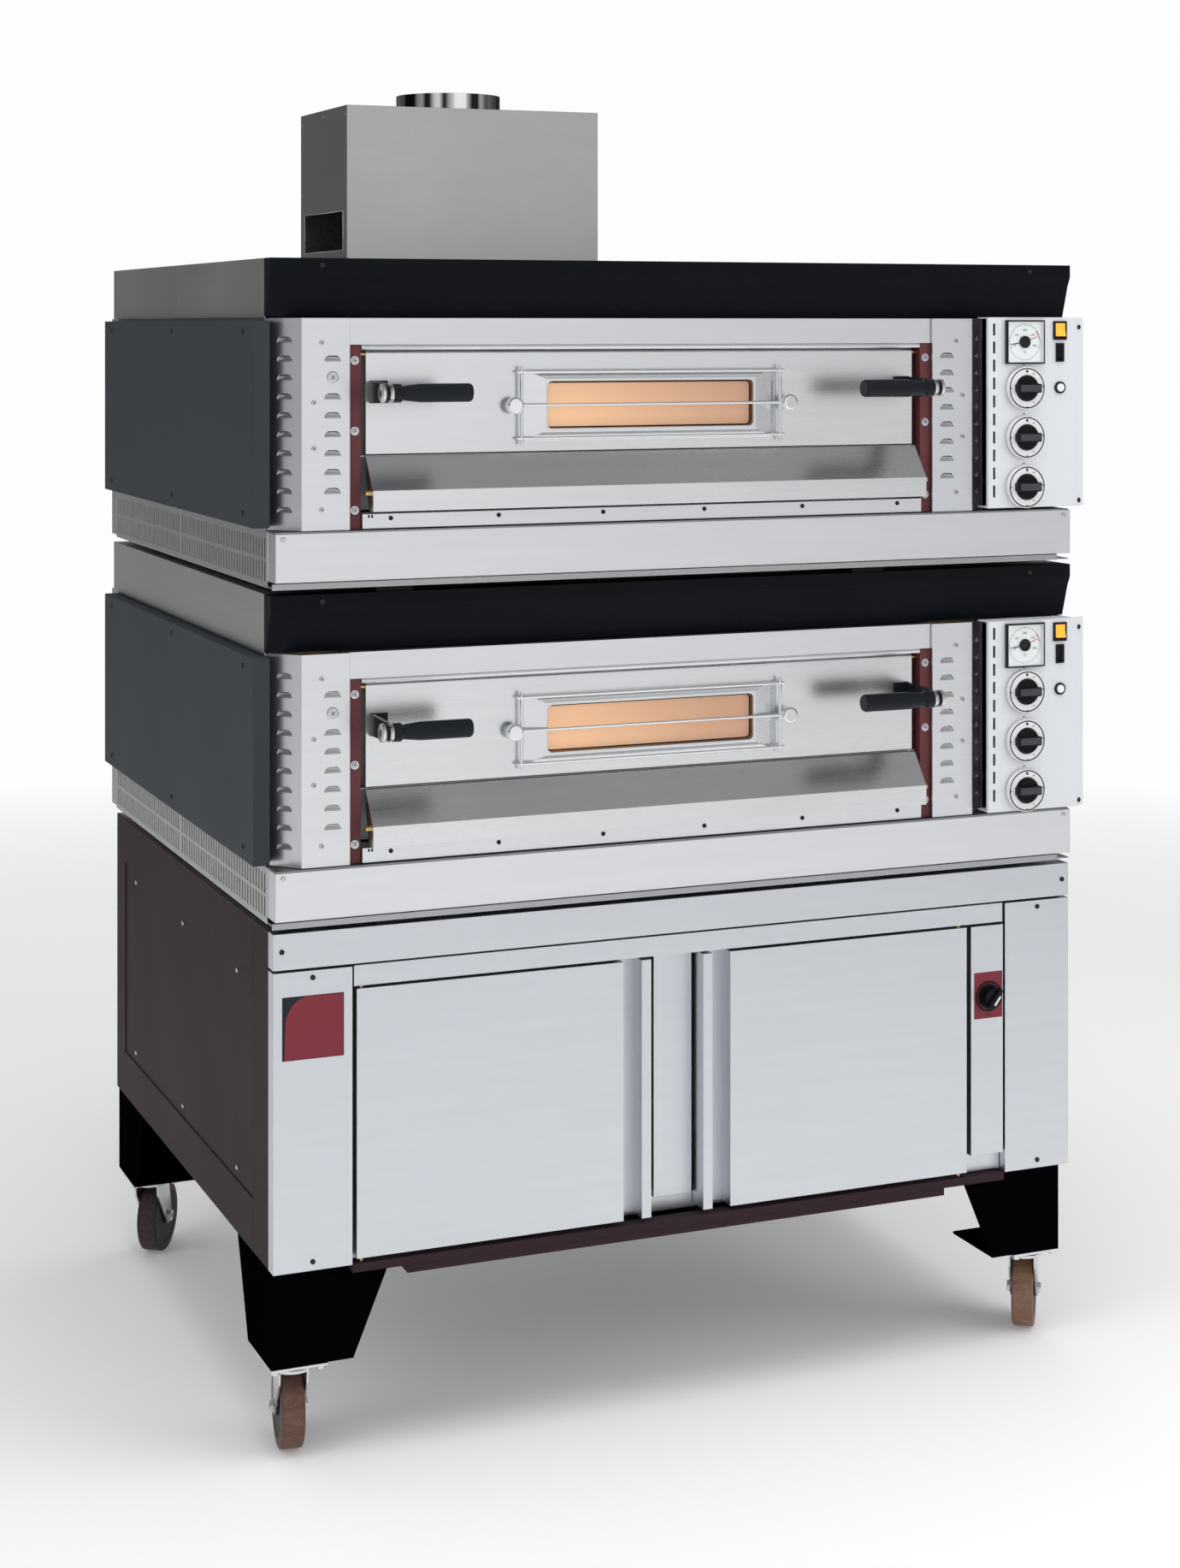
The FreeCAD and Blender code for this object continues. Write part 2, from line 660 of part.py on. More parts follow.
def front_band(base):
    top, low = base + deck_height, base + band_bottom
    slant = (top - low) - band_lip
    face = [(band_return, top), (0.0, top), (0.0, top - band_lip),
            (0.12 * band_rake, top - band_lip - 0.10 * slant),
            (0.30 * band_rake, top - band_lip - 0.22 * slant), (band_rake, low), (band_return, low)]
    x = (-band_overhang, cabinet_width + band_overhang)
    skin = along_x(folded(face), x)
    caps = [along_x(face, (x[0], x[0] + sheet)), along_x(face, (x[1] - sheet, x[1]))]
    add("front_bands", join(skin, *caps))


def side_boxes(base):
    z = (base + body_bottom + 5.0, base + body_top - 4.0)
    box = tray((-side_box_depth, 0), (19.0, deck_depth - 16.0), z, "+x")
    add("side_boxes", box, mirrored(box, cabinet_width / 2))


def pilasters(base):
    z = (base + body_bottom, base + body_top)
    edge = 3.0
    path = [(edge, pilaster_chamfer + 0.5), (pilaster_chamfer, 0.0), (mouth_left, 0.0),
            (mouth_left, strip_setback)]
    sheet_left = along_z(folded(path), z)
    # half-moon louvre openings, on the chamfer and on the face
    run = math.hypot(pilaster_chamfer - edge, pilaster_chamfer + 0.5)
    turn = math.degrees(math.acos((pilaster_chamfer - edge) / run))
    half, high = louvre_width / 2, louvre_height
    moon = along_y([(-half, 0), (half, 0), (half, 0.3 * high), (0.78 * half, 0.8 * high), (0.5 * half, high),
                    (-0.5 * half, high), (-0.78 * half, 0.8 * high), (-half, 0.3 * high)], (-4.0, 5.0))
    slots = []
    plugged = 6                # a blanking plug fills this place on the left
    for i in range(10):
        slot = moon.copy()
        slot.rotate(vec(0, 0, 0), vec(0, 0, 1), -turn)
        z0 = base + louvre_first + i * louvre_pitch - high / 2
        slots.append(slot.translated(vec((edge + pilaster_chamfer) / 2, (pilaster_chamfer + 0.5) / 2, z0)))
    for i in range(8):
        z0 = base + louvre_first + (i + 1) * louvre_pitch - high / 2
        slots.append(moon.translated(vec(louvre_column, 0, z0)))
    right = mirrored(sheet_left.cut(Part.Compound(slots)), oven_width / 2)
    left = sheet_left.cut(Part.Compound([slot for i, slot in enumerate(slots) if i != 10 + plugged]))
    plug_z = base + louvre_first + (plugged + 1) * louvre_pitch
    add("panel_screws", screw((louvre_column, 0, plug_z), (0, -1, 0), 9.0, 3.0))
    add("pilasters", left, right)


def mouth_frame(base):
    # maroon strips beside the opening, the stainless header above it and the sill below it
    z = (base + body_bottom, base + strip_top)
    x = (mouth_left + strip_gap, strip_edge)
    path = [(x[0], strip_setback + sheet), (x[0], strip_setback), (x[1], strip_setback),
            (x[1], chamber_front - 15.0)]
    strip = along_z(folded(path), z)
    add("hinge_strips", strip, mirrored(strip, oven_mid))
    header_x = (mouth_left + 0.5, mouth_right - 0.5)
    header = tray(header_x, (header_setback, chamber_front - 16.0), (base + header_bottom, base + body_top))
    bead_x = (strip_edge + 1.0, oven_width - strip_edge - 1.0)
    bead = rod((bead_x[0], header_setback + bead_radius, base + header_bottom - bead_radius), (1, 0, 0),
               bead_radius, bead_x[1] - bead_x[0])
    sill = tray((strip_edge + 1.0, bead_x[1]), (2.0, chamber_front - 6.0),
                (base + body_bottom + 1.0, base + body_bottom + 23.0), "+y")
    ledge = block((strip_edge + 1.0, bead_x[1]), (door_setback + 6.0, chamber_front - 1.0),
                  (base + door_bottom - 4.0, base + door_bottom - sheet))
    add("mouth_rails", header, bead, sill, ledge)
    for x0 in (strip_edge, oven_width - strip_edge - 24.0):
        add("hinge_pins", rod((x0, pivot_y, base + pivot_z), (1, 0, 0), pivot_radius, 24.0))
        pin = rod((x0, -flap_pin_forward, base + flap_pin_height), (1, 0, 0), flap_pin_radius, 24.0)
        add("hinge_pins", pin)


def oven_door(base, level):
    node = "oven_door_" + level
    x = (oven_door_left, oven_door_right)
    y = (door_setback, door_setback + oven_door_thickness)
    z = (base + door_bottom, base + door_top)
    foot = y[0] + door_foot_flat
    profile = [(y[0], z[0]), (foot, z[0]), (y[1], z[0] + door_foot_rise), (y[1], z[1]), (y[0], z[1])]
    solid = along_x(profile, x)
    edge = [e for e in solid.Edges
            if abs(e.CenterOfMass.y - y[0]) < 0.01 and abs(e.CenterOfMass.z - z[1]) < 0.01]
    solid = solid.makeFillet(pivot_inset, edge)
    inner_z = (z[0] + sheet, z[1] - pivot_inset - 7.0)
    inner = along_x([(y[0] + sheet, inner_z[0]), (foot, inner_z[0]), (y[1], inner_z[0] + door_foot_rise),
                     (y[1], inner_z[1]), (y[0] + sheet, inner_z[1])], (x[0] + sheet, x[1] - sheet))
    window_x = (oven_mid - window_half, oven_mid + window_half)
    window_z = (base + window_low, base + window_high)
    opening = rounded_opening(window_x, (y[0] - 20.0, y[1] + 1.0), window_z, window_corner)
    tunnel = block((window_x[0] - sheet, window_x[1] + sheet), (y[0], y[1] - sheet),
                   (window_z[0] - sheet, window_z[1] + sheet))
    skin = solid.cut(inner).fuse(tunnel).cut(opening)
    for x0 in (strip_edge, oven_width - strip_edge - 26.0):
        skin = skin.cut(rod((x0, pivot_y, base + pivot_z), (1, 0, 0), pivot_radius + running_gap, 26.0))
    liner = block((x[0] + 2 * sheet, x[1] - 2 * sheet), (y[1] - sheet, y[1]),
                  (z[0] + 2 * sheet + door_foot_rise, z[1] - pivot_inset - 9.0))
    # raised frame whose four sides slope up to the window's edge
    outline = [(oven_mid + a * (window_half + window_frame), z_mid)
               for a, z_mid in ((-1, window_z[0] - window_frame_rise), (1, window_z[0] - window_frame_rise),
                                (1, window_z[1] + window_frame_rise), (-1, window_z[1] + window_frame_rise))]
    lip = 4.0
    top_line = [(oven_mid + a * (window_half + lip), z_mid)
                for a, z_mid in ((-1, window_z[0] - lip), (1, window_z[0] - lip),
                                 (1, window_z[1] + lip), (-1, window_z[1] + lip))]
    loops = [Part.makePolygon([vec(px, depth, pz) for px, pz in line + line[:1]])
             for line, depth in ((outline, y[0]), (top_line, y[0] - window_frame_proud))]
    frame = Part.makeLoft(loops, True).cut(opening)
    add(node, skin.removeSplitter(), liner.cut(opening), frame)
    for pane_y in (y[0] + 5.0, y[1] - 8.0):
        pane = rounded_opening((window_x[0] + 0.5, window_x[1] - 0.5), (pane_y, pane_y + pane_thickness),
                               (window_z[0] + 0.5, window_z[1] - 0.5), window_corner)
        add("door_glass_" + level, pane)
    door_guard(base, level, (window_z[0] + window_z[1]) / 2)
    door_handles(base, level)


def door_guard(base, level, middle):
    y = door_setback - guard_forward
    rods = []
    for z in (middle - guard_rise, middle, middle + guard_rise):
        reach = guard_knob_half if z == middle else guard_half + 7.0
        rods.append(rod((oven_mid - reach, y, z), (1, 0, 0), guard_radius, 2 * reach))
    for side in (-1, 1):
        x = oven_mid + side * guard_half
        rods.append(rod((x, y, middle - guard_rise - 9.0), (0, 0, 1), guard_radius, 2 * guard_rise + 18.0))
        knob_x0 = oven_mid + side * guard_knob_half
        rods.append(rod((knob_x0, door_setback, middle), (0, -1, 0), 6.0, 14.0))
        head = rod((knob_x0, door_setback - 13.0, middle), (0, -1, 0), guard_knob_radius, 12.0)
        face = [e for e in head.Edges if isinstance(e.Curve, Part.Circle)
                and abs(e.Curve.Center.y - door_setback + 25.0) < 0.01]
        rods.append(head.makeFillet(4.0, face))
    add("door_fittings_" + level, join(rods[0], *rods[1:]))


def door_handles(base, level):
    # a grip along each end of the door, on a plate arm bolted to the door's face
    y = door_setback - handle_reach
    z = base + handle_height
    outline = [(handle_tip_half, 0.0), (handle_tip_half, 12.5), (handle_tip_half + 3.0, handle_radius),
               (handle_end_half - 62.0, handle_radius), (handle_end_half - 34.0, 11.0),
               (handle_end_half - 30.0, handle_radius), (handle_end_half - 18.0, handle_radius),
               (handle_end_half - 18.0, handle_radius - 2.0), (handle_end_half, handle_radius - 2.0),
               (handle_end_half, 0.0)]
    wire = Part.makePolygon([vec(oven_mid + a, y, z + r) for a, r in outline + [outline[0]]])
    grip = Part.Face(wire).revolve(vec(0, y, z), vec(1, 0, 0), 360)
    plate_x = (oven_mid + handle_end_half - 17.0, oven_mid + handle_end_half - 11.0)
    arm = along_x([(y - 10.0, z - 10.0), (y + 10.0, z - 14.0), (door_setback - 3.0, z - 16.0),
                   (door_setback - 3.0, z + 16.0), (y + 10.0, z + 14.0), (y - 10.0, z + 10.0)], plate_x)
    tongue = block((plate_x[0] - 22.0, plate_x[1]), (door_setback - 3.0, door_setback), (z - 17.0, z + 17.0))
    bolts = [rod((plate_x[0] - 11.0, door_setback - 6.0, z + drop), (0, 1, 0), 4.5, 3.0)
             for drop in (-9.0, 9.0)]
    arm = arm.cut(grip)
    for shape in (grip, arm, tongue.cut(arm), *bolts):
        add("door_fittings_" + level, shape, mirrored(shape, oven_mid))


def shelf_flap(base, level):
    x = (strip_edge + flap_side_gap, oven_width - strip_edge - flap_side_gap)
    low, high, top = base + flap_lip_low, base + flap_lip_high, base + flap_top
    path = [(-flap_front + 14.0, low), (-flap_front, low), (-flap_front, high), (flap_rear, top),
            (flap_rear, top - 8.0)]
    shell = along_x(folded(path, -sheet), x)
    cheek = [(-flap_front, low), (-flap_front, high), (flap_rear, top), (flap_rear, top - 26.0),
             (-flap_front + 20.0, low)]
    ends = [along_x(cheek, (x[0], x[0] + sheet)), along_x(cheek, (x[1] - sheet, x[1]))]
    hinge = (-flap_pin_forward, base + flap_pin_height)
    bosses = [rod((x0, *hinge), (1, 0, 0), flap_pin_radius + 3.0, 16.0) for x0 in (x[0], x[1] - 16.0)]
    flap = join(shell, *ends, *bosses)
    for x0 in (strip_edge, oven_width - strip_edge - 26.0):
        flap = flap.cut(rod((x0, *hinge), (1, 0, 0), flap_pin_radius + running_gap, 26.0))
    add("shelf_flap_" + level, flap)


def chamber(base):
    x = (oven_door_left + 3.5, oven_door_right - 3.5)
    z = (base + chamber_low, base + chamber_high)
    y = (chamber_front + sheet, chamber_front + sheet + chamber_depth)
    mouth = (x[0] + sheet, x[1] - sheet, base + mouth_low, z[1] - sheet)
    front = around("y", (strip_edge + 2.0, oven_width - strip_edge - 2.0), (chamber_front, y[0]),
                   (base + body_bottom + 25.0, base + body_top), mouth)
    duct_x = (oven_mid - duct_width / 2, oven_mid + duct_width / 2)
    duct_y = (deck_depth - 4.0 - duct_depth, deck_depth - 4.0)
    flue = (duct_x[0] + 40.0, duct_x[1] - 40.0, base + mouth_low + 50.0, z[1] - 12.0)
    rear = around("y", x, (y[1], y[1] + sheet), (z[0], z[1]), flue)
    left = block((x[0], x[0] + sheet), y, z)
    right = block((x[1] - sheet, x[1]), y, z)
    roof = block(x, (y[0], y[1] + sheet), (z[1], z[1] + sheet))
    floor = block((x[0] + sheet, x[1] - sheet), y, (z[0], z[0] + sheet))
    add("baking_chambers", left, right, roof, floor, *front, *rear)
    is_lower = base == deck_levels["lower"]
    duct_z = (z[0], base + deck_height + deck_gap) if is_lower else (base, base + deck_height + 5.0)
    duct_front = (duct_y[0], duct_y[0] + duct_wall)
    duct_back = (duct_y[1] - duct_wall, duct_y[1])
    inner_y = (duct_front[1], duct_back[0])
    add("baking_chambers", block(duct_x, duct_back, duct_z), *around("y", duct_x, duct_front, duct_z, flue),
        block((duct_x[0], duct_x[0] + duct_wall), inner_y, duct_z),
        block((duct_x[1] - duct_wall, duct_x[1]), inner_y, duct_z))
    stone_z = (z[0] + sheet, z[0] + sheet + stone_thick)
    stone_y = (y[0] + 2.0, y[1] - 2.0)
    for stone_x in ((x[0] + sheet + 2.0, oven_mid - stone_gap / 2),
                    (oven_mid + stone_gap / 2, x[1] - sheet - 2.0)):
        add("hearth_stones", block(stone_x, stone_y, stone_z))
    wool_y = (y[0] + 1.0, y[1])
    wool_top = base + body_top - 1.0
    add("insulation", block((x[0], x[1]), wool_y, (z[1] + 4.0, wool_top)),
        block((sheet + 4.0, x[0] - 2.0), wool_y, (base + body_bottom + 10.0, wool_top)),
        block((x[1] + 2.0, oven_width - 4.0), wool_y, (z[0] + 2.0, wool_top)))


def gas_train(base):
    # burner tubes under the stones, the pipe that feeds them, three valves and the rear inlet
    pipe_y = chamber_front + 19.0
    level = base + burner_height
    spread = 0.30 * oven_width
    tubes = [rod((oven_mid + k * spread, pipe_y, level), (0, 1, 0), burner_radius, chamber_depth - 60.0)
             for k in (-1, 0, 1)]
    pipe_radius = manifold_radius - 1.0
    feed = rod((oven_mid - spread, pipe_y + 15.0, level), (1, 0, 0), pipe_radius, knob_x - oven_mid + spread)
    riser_low = base + inlet_height
    riser_top = base + knob_heights[0] + 10.0
    riser = rod((knob_x, pipe_y, riser_low), (0, 0, 1), pipe_radius, riser_top - riser_low)
    inlet = rod((knob_x, pipe_y, riser_low), (0, 1, 0), pipe_radius, rear_face - pipe_y)
    stub = rod((knob_x, rear_face, riser_low), (0, 1, 0), inlet_radius, inlet_reach)
    fittings = [block((knob_x - 14.0, knob_x + 14.0), (pipe_y - 14.0, pipe_y + 28.0), (z - 14.0, z + 14.0))
                for z in (riser_low, level)]
    valves = [block((knob_x - 17.0, knob_x + 17.0), (-8.0, pipe_y - 4.0), (base + z - 17.0, base + z + 17.0))
              for z in knob_heights]
    tubes = [tube.cut(feed) for tube in tubes]
    fittings = [fitting.cut(feed) for fitting in fittings]
    riser = riser.cut(Part.Compound(fittings)).cut(feed)
    inlet = inlet.cut(Part.Compound(fittings))
    shafts = [rod((knob_x, -10.0, base + z), (0, 1, 0), shaft_radius + running_gap, 22.0)
              for z in knob_heights]
    valves = [valve.cut(Part.Compound([riser, shaft, *fittings])) for valve, shaft in zip(valves, shafts)]
    for piece in (feed, *tubes, *fittings, riser, inlet, stub, *valves):
        add("gas_burners", *piece.Solids)


def control_panel(base):
    left = oven_width - panel_left
    right = cabinet_width - panel_right
    z = (base + panel_bottom, base + panel_top)
    path = [(left, -panel_forward + panel_hem), (left, -panel_forward), (right, -panel_forward),
            (right + panel_flange, -panel_forward + panel_flange_drop)]
    panel = along_z(folded(path), z)
    caps = [block((left + sheet, right - sheet), (-panel_forward + sheet, 12.0), span)
            for span in ((z[0], z[0] + sheet), (z[1] - sheet, z[1]))]
    panel = join(panel, *caps)
    front = -panel_forward - 1.0
    holes = [rod((knob_x, front, base + h), (0, 1, 0), shaft_radius + 1.5, 5.0) for h in knob_heights]
    holes.append(rod((knob_x, front, base + gauge_height), (0, 1, 0), gauge_can_radius + 1.0, 5.0))
    holes.append(rod((switch_x, front, base + button_height), (0, 1, 0), button_radius + 1.6, 5.0))
    for height, width in ((lamp_switch_height, lamp_switch_width), (light_switch_height, light_switch_width)):
        w, h = width / 2 - 1.5, switch_length / 2 - 1.5
        holes.append(block((switch_x - w, switch_x + w), (front, front + 5.0),
                           (base + height - h, base + height + h)))
    vent_x = left + 11.5
    for i in range(vent_slots):
        centre = base + vent_first + i * vent_pitch
        holes.append(block((vent_x - 2.2, vent_x + 2.2), (front, front + 5.0), (centre - 9.7, centre + 9.7)))
    add("control_panels", panel.cut(Part.Compound(holes)))


def instruments(base, level):
    face = -panel_forward
    # thermometer: square bezel with a can behind the panel, dial, window and needle
    z = base + gauge_height
    half = gauge_size / 2
    dial_y = face - gauge_rise + 5.0
    bezel = block((knob_x - half, knob_x + half), (face - gauge_rise, face), (z - half, z + half))
    inner = half - 3.0
    pocket = block((knob_x - inner, knob_x + inner), (face - gauge_rise - 1.0, dial_y),
                   (z - inner, z + inner))
    can = rod((knob_x, face, z), (0, 1, 0), gauge_can_radius, 40.0)
    spindle_hole = rod((knob_x, face - gauge_rise - 1.0, z), (0, 1, 0), 1.5 + running_gap, 20.0)
    body = join(bezel.cut(pocket), can).cut(spindle_hole)
    add("panel_instruments", body)
    hub = rod((knob_x, dial_y - 0.4, z), (0, -1, 0), 10.0, 2.6)
    pointer = block((knob_x, knob_x + 26.0), (dial_y - 1.6, dial_y - 0.8), (z - 0.6, z + 0.6))
    pointer.rotate(vec(knob_x, 0, z), vec(0, 1, 0), 171.0)
    spindle = rod((knob_x, dial_y - 0.4, z), (0, 1, 0), 1.5, 12.0)
    add("gauge_needle_" + level, join(hub, pointer, spindle))
    # two rocker switches, each a tilted rocker between the cheeks of its housing
    for node, height, width in (("lamp_rocker_", lamp_switch_height, lamp_switch_width),
                                ("light_rocker_", light_switch_height, light_switch_width)):
        z = base + height
        w, h = width / 2, switch_length / 2
        bezel = block((switch_x - w, switch_x + w), (face - 3.0, face), (z - h, z + h))
        box = block((switch_x - w + 1.8, switch_x + w - 1.8), (face, face + 22.0), (z - h + 1.8, z + h - 1.8))
        hollow = block((switch_x - w + 3.2, switch_x + w - 3.2), (face - 4.0, face + 20.0),
                       (z - h + 3.2, z + h - 3.2))
        axle = rod((switch_x - w + 2.2, face + 3.0, z), (1, 0, 0), 1.5 + running_gap, 2 * w - 4.4)
        add("panel_instruments", join(bezel, box).cut(hollow).cut(axle))
        rw, rh = w - 3.6, h - 4.6
        rocker = along_x([(face - 4.6, -rh), (face - 3.2, 0), (face - 4.6, rh), (face + 8.0, 0.6 * rh),
                          (face + 8.0, -0.6 * rh)], (switch_x - rw, switch_x + rw))
        rocker = rocker.translated(vec(0, 0, z))
        pin = rod((switch_x - w + 2.4, face + 3.0, z), (1, 0, 0), 1.5, 2 * w - 4.8)
        rocker = join(rocker, pin)
        rocker.rotate(vec(switch_x, face + 3.0, z), vec(1, 0, 0), -rocker_tilt)
        add(node + level, rocker)
    # ignition button in a round bezel
    z = base + button_height
    bezel = ring((switch_x, face, z), (0, -1, 0), 10.0, button_radius + 0.3, 3.0)
    barrel = ring((switch_x, face, z), (0, 1, 0), button_radius + 1.5, button_radius + 0.3, 24.0)
    add("panel_instruments", join(bezel, barrel))
    plunger = rod((switch_x, face - 4.5, z), (0, 1, 0), button_radius, 20.0)
    add("igniter_button_" + level, plunger)


def control_knob(base, level, index):
    z = base + knob_heights[index]
    back = -panel_forward - skirt_gap
    skirt = rod((knob_x, back, z), (0, -1, 0), skirt_radius, skirt_height)
    rim = [e for e in skirt.Edges if isinstance(e.Curve, Part.Circle) and e.Curve.Center.y < back - 1.0]
    skirt = skirt.makeFillet(1.5, rim)
    front = back - skirt_height
    body = Part.makeCone(knob_radius, knob_radius - 2.0, knob_length - knob_bar_rise, vec(knob_x, front, z),
                         vec(0, -1, 0))
    bar = block((knob_x - knob_bar_length / 2, knob_x + knob_bar_length / 2), (front - knob_length, front),
                (z - knob_bar_width / 2, z + knob_bar_width / 2))
    bar = bar.makeFillet(3.0, [e for e in bar.Edges if e.BoundBox.YLength > 1.0])
    shaft = rod((knob_x, back, z), (0, 1, 0), shaft_radius, 36.0)
    add("control_knob_%s_%d" % (level, index + 1), join(skirt, body, bar, shaft))


def pads(base):
    for x in (190.0, cabinet_width - 375.0):
        for y in (6.0, deck_depth - 90.0):
            add("deck_pads", block((x - 29.0, x + 29.0), (y, y + 45.0), (base - deck_gap, base)))


def hood():
    x = (hood_mid - hood_width / 2, hood_mid + hood_width / 2)
    y = (hood_front, hood_front + hood_depth)
    z = (deck_top, deck_top + hood_height)
    shell = tray(x, y, z, "-z", hood_wall)
    port_y = (y[0] + (hood_depth - hood_port_depth) / 2, y[1] - (hood_depth - hood_port_depth) / 2)
    port_z = (z[0] + hood_port_low, z[0] + hood_port_low + hood_port_height)
    port = block((x[0] - 1.0, x[1] + 1.0), port_y, port_z)
    centre = (hood_mid, (y[0] + y[1]) / 2)
    opening = rod((*centre, z[1] - 10.0), (0, 0, 1), collar_radius + 2.0, 20.0)
    add("flue_hood", shell.cut(port).cut(opening))
    low = z[1] - hood_wall - collar_grip
    collar = ring((*centre, low), (0, 0, 1), collar_radius, collar_radius - collar_wall,
                  collar_grip + hood_wall + collar_height)
    flange = ring((*centre, z[1] - hood_wall - sheet), (0, 0, 1), collar_radius + 12.0, collar_radius - 0.5,
                  sheet)
    add("flue_collar", join(collar, flange))


def screws():
    front, left = (0, -1, 0), (-1, 0, 0)
    heads = [screw((x, 0, cabinet_top - 26.5), front) for x in (13.0, cabinet_width - 12.0)]
    for x in (60.5, cabinet_width - 60.0):
        heads += [screw((x, 0, z), front) for z in (cabinet_bottom + 13.0, fascia_bottom - 14.0)]
    panel_y = (211.0, (211.0 + cabinet_depth - 150.0) / 2, cabinet_depth - 150.0)
    for y in panel_y:
        for z in (cabinet_bottom + 98.0, cabinet_top - 99.0):
            side = screw((sheet, y, z), left)
            heads += [side, mirrored(side, cabinet_width / 2)]
    for base in deck_levels.values():
        for y in (80.0, 0.5 * deck_depth, deck_depth - 74.0):
            for z in (base + 109.0, base + 380.0):
                side = screw((-side_box_depth, y, z), left)
                heads += [side, mirrored(side, cabinet_width / 2)]
        for z in (116.0, 207.0, 275.0, 364.0):
            nearer = pilaster_chamfer + (30.5 if z in (116.0, 364.0) else 18.5)
            pair = screw((nearer, 0, base + z), front)
            heads += [pair, mirrored(pair, oven_mid)]
        for z in (113.6, 232.0, 337.5):
            pair = screw((mouth_left + strip_gap + 9.0, strip_setback, base + z), front, 4.5, 2.5)
            heads += [pair, mirrored(pair, oven_mid)]
        for x in (12.5, cabinet_width - 14.0):
            heads.append(screw((x, -base_forward, base + base_height - 8.0), front))
        for i in range(6):
            x = strip_edge + 45.5 + i * (oven_width - 2 * strip_edge - 91.0) / 5
            heads.append(screw((x, 2.0, base + 101.0), front, 3.5, 1.5))
        slope = math.hypot(panel_flange, panel_flange_drop)
        outward = (panel_flange_drop / slope, -panel_flange / slope, 0)
        right = cabinet_width - panel_right + 0.5 * panel_flange
        flange_y = -panel_forward + 0.5 * panel_flange_drop
        for z in (99.0, 387.0):
            heads.append(screw((right, flange_y, base + z), outward, 4.0, 2.5))
        for z in (band_bottom + 76.0,):
            for x in (75.0, cabinet_width - 75.0):
                heads.append(screw((x, 0, base + z), front))
    add("panel_screws", *heads)


def build():
    cabinet_frame()
    cabinet_casing()
    cabinet_front()
    cabinet_doors()
    prover_knob()
    tray_racks()
    legs()
    for name, turn in castor_turn.items():
        castor(name, turn)
    rear_covers()
    for level, base in deck_levels.items():
        deck_chassis(base)
        base_fascia(base)
        deck_covers(base)
        front_band(base)
        side_boxes(base)
        pilasters(base)
        mouth_frame(base)
        oven_door(base, level)
        shelf_flap(base, level)
        chamber(base)
        gas_train(base)
        control_panel(base)
        instruments(base, level)
        for index in range(len(knob_heights)):
            control_knob(base, level, index)
        pads(base)
    hood()
    screws()


build()
home = vec(-cabinet_width / 2, -(handle_front + inlet_end) / 2, 0)
os.makedirs("parts", exist_ok=True)
for node, shapes in pieces.items():
    solids = [solid for shape in shapes for solid in shape.translated(home).Solids]
    whole = solids[0] if len(solids) == 1 else Part.Compound(solids)
    whole.exportStep("parts/" + node + ".step")
print(len(pieces), "nodes,", sum(len(shapes) for shapes in pieces.values()), "shapes")
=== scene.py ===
import math

import bmesh
import bpy
from mathutils import Matrix, Vector


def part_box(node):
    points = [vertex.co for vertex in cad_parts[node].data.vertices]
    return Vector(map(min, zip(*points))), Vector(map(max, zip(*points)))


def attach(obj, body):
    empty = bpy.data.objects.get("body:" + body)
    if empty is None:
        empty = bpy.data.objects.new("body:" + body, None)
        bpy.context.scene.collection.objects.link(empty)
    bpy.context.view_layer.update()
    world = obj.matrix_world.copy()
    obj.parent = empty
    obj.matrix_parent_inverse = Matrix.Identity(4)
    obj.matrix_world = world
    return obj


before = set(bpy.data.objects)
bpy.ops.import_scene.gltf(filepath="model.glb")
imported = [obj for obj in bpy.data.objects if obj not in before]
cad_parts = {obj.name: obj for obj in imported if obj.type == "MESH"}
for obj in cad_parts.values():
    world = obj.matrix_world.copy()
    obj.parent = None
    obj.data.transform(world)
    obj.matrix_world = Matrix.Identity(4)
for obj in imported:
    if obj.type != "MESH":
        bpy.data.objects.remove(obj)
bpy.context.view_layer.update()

# places: x from the cabinet's left side, y from its front plane, z from the floor, all in mm
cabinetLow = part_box("cabinet_front_panels")[0]
deckNames = ("lower", "upper")
deckBase = {name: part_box("oven_door_" + name)[0].z * 1000 - 196.5 for name in deckNames}


def at(x, y, z):
    return Vector((cabinetLow.x + x / 1000, cabinetLow.y + y / 1000, z / 1000))


def fromHome(point):
    return (point - at(0, 0, 0)) * 1000


def boxFromHome(node):
    low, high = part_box(node)
    return fromHome(low), fromHome(high)


ovenMid = sum(corner.x for corner in boxFromHome("oven_door_lower")) / 2
camera = {"place": (-1058.35, -3770.66, 1697.6), "turn": 22.52, "lens": 80.54, "shiftY": -0.3889}


def placeCamera():
    data = bpy.data.cameras.new("studioCamera")
    data.sensor_fit = "HORIZONTAL"
    data.sensor_width = 36
    data.lens = camera["lens"]
    data.shift_y = camera["shiftY"]
    data.clip_end = 60
    data.dof.use_dof = False
    item = bpy.data.objects.new("studioCamera", data)
    item.location = at(*camera["place"])
    item.rotation_euler = (math.radians(90), 0, -math.radians(camera["turn"]))
    bpy.context.scene.collection.objects.link(item)
    bpy.context.scene.camera = item


placeCamera()


def addNode(tree, kind, **settings):
    node = tree.nodes.new(kind)
    for name, value in settings.items():
        setattr(node, name, value)
    return node


def plug(tree, value, socket):
    # a number or colour is set on the socket, and an output is linked to it
    if isinstance(value, bpy.types.NodeSocket):
        tree.links.new(value, socket)
    else:
        socket.default_value = value


def plugEach(tree, node, values):
    for slot, value in values.items():
        plug(tree, value, node.inputs[slot])


def maths(tree, operation, first, second=0.0, third=0.0, clamp=False):
    node = addNode(tree, "ShaderNodeMath", operation=operation, use_clamp=clamp)
    plugEach(tree, node, {0: first, 1: second, 2: third})
    return node.outputs[0]


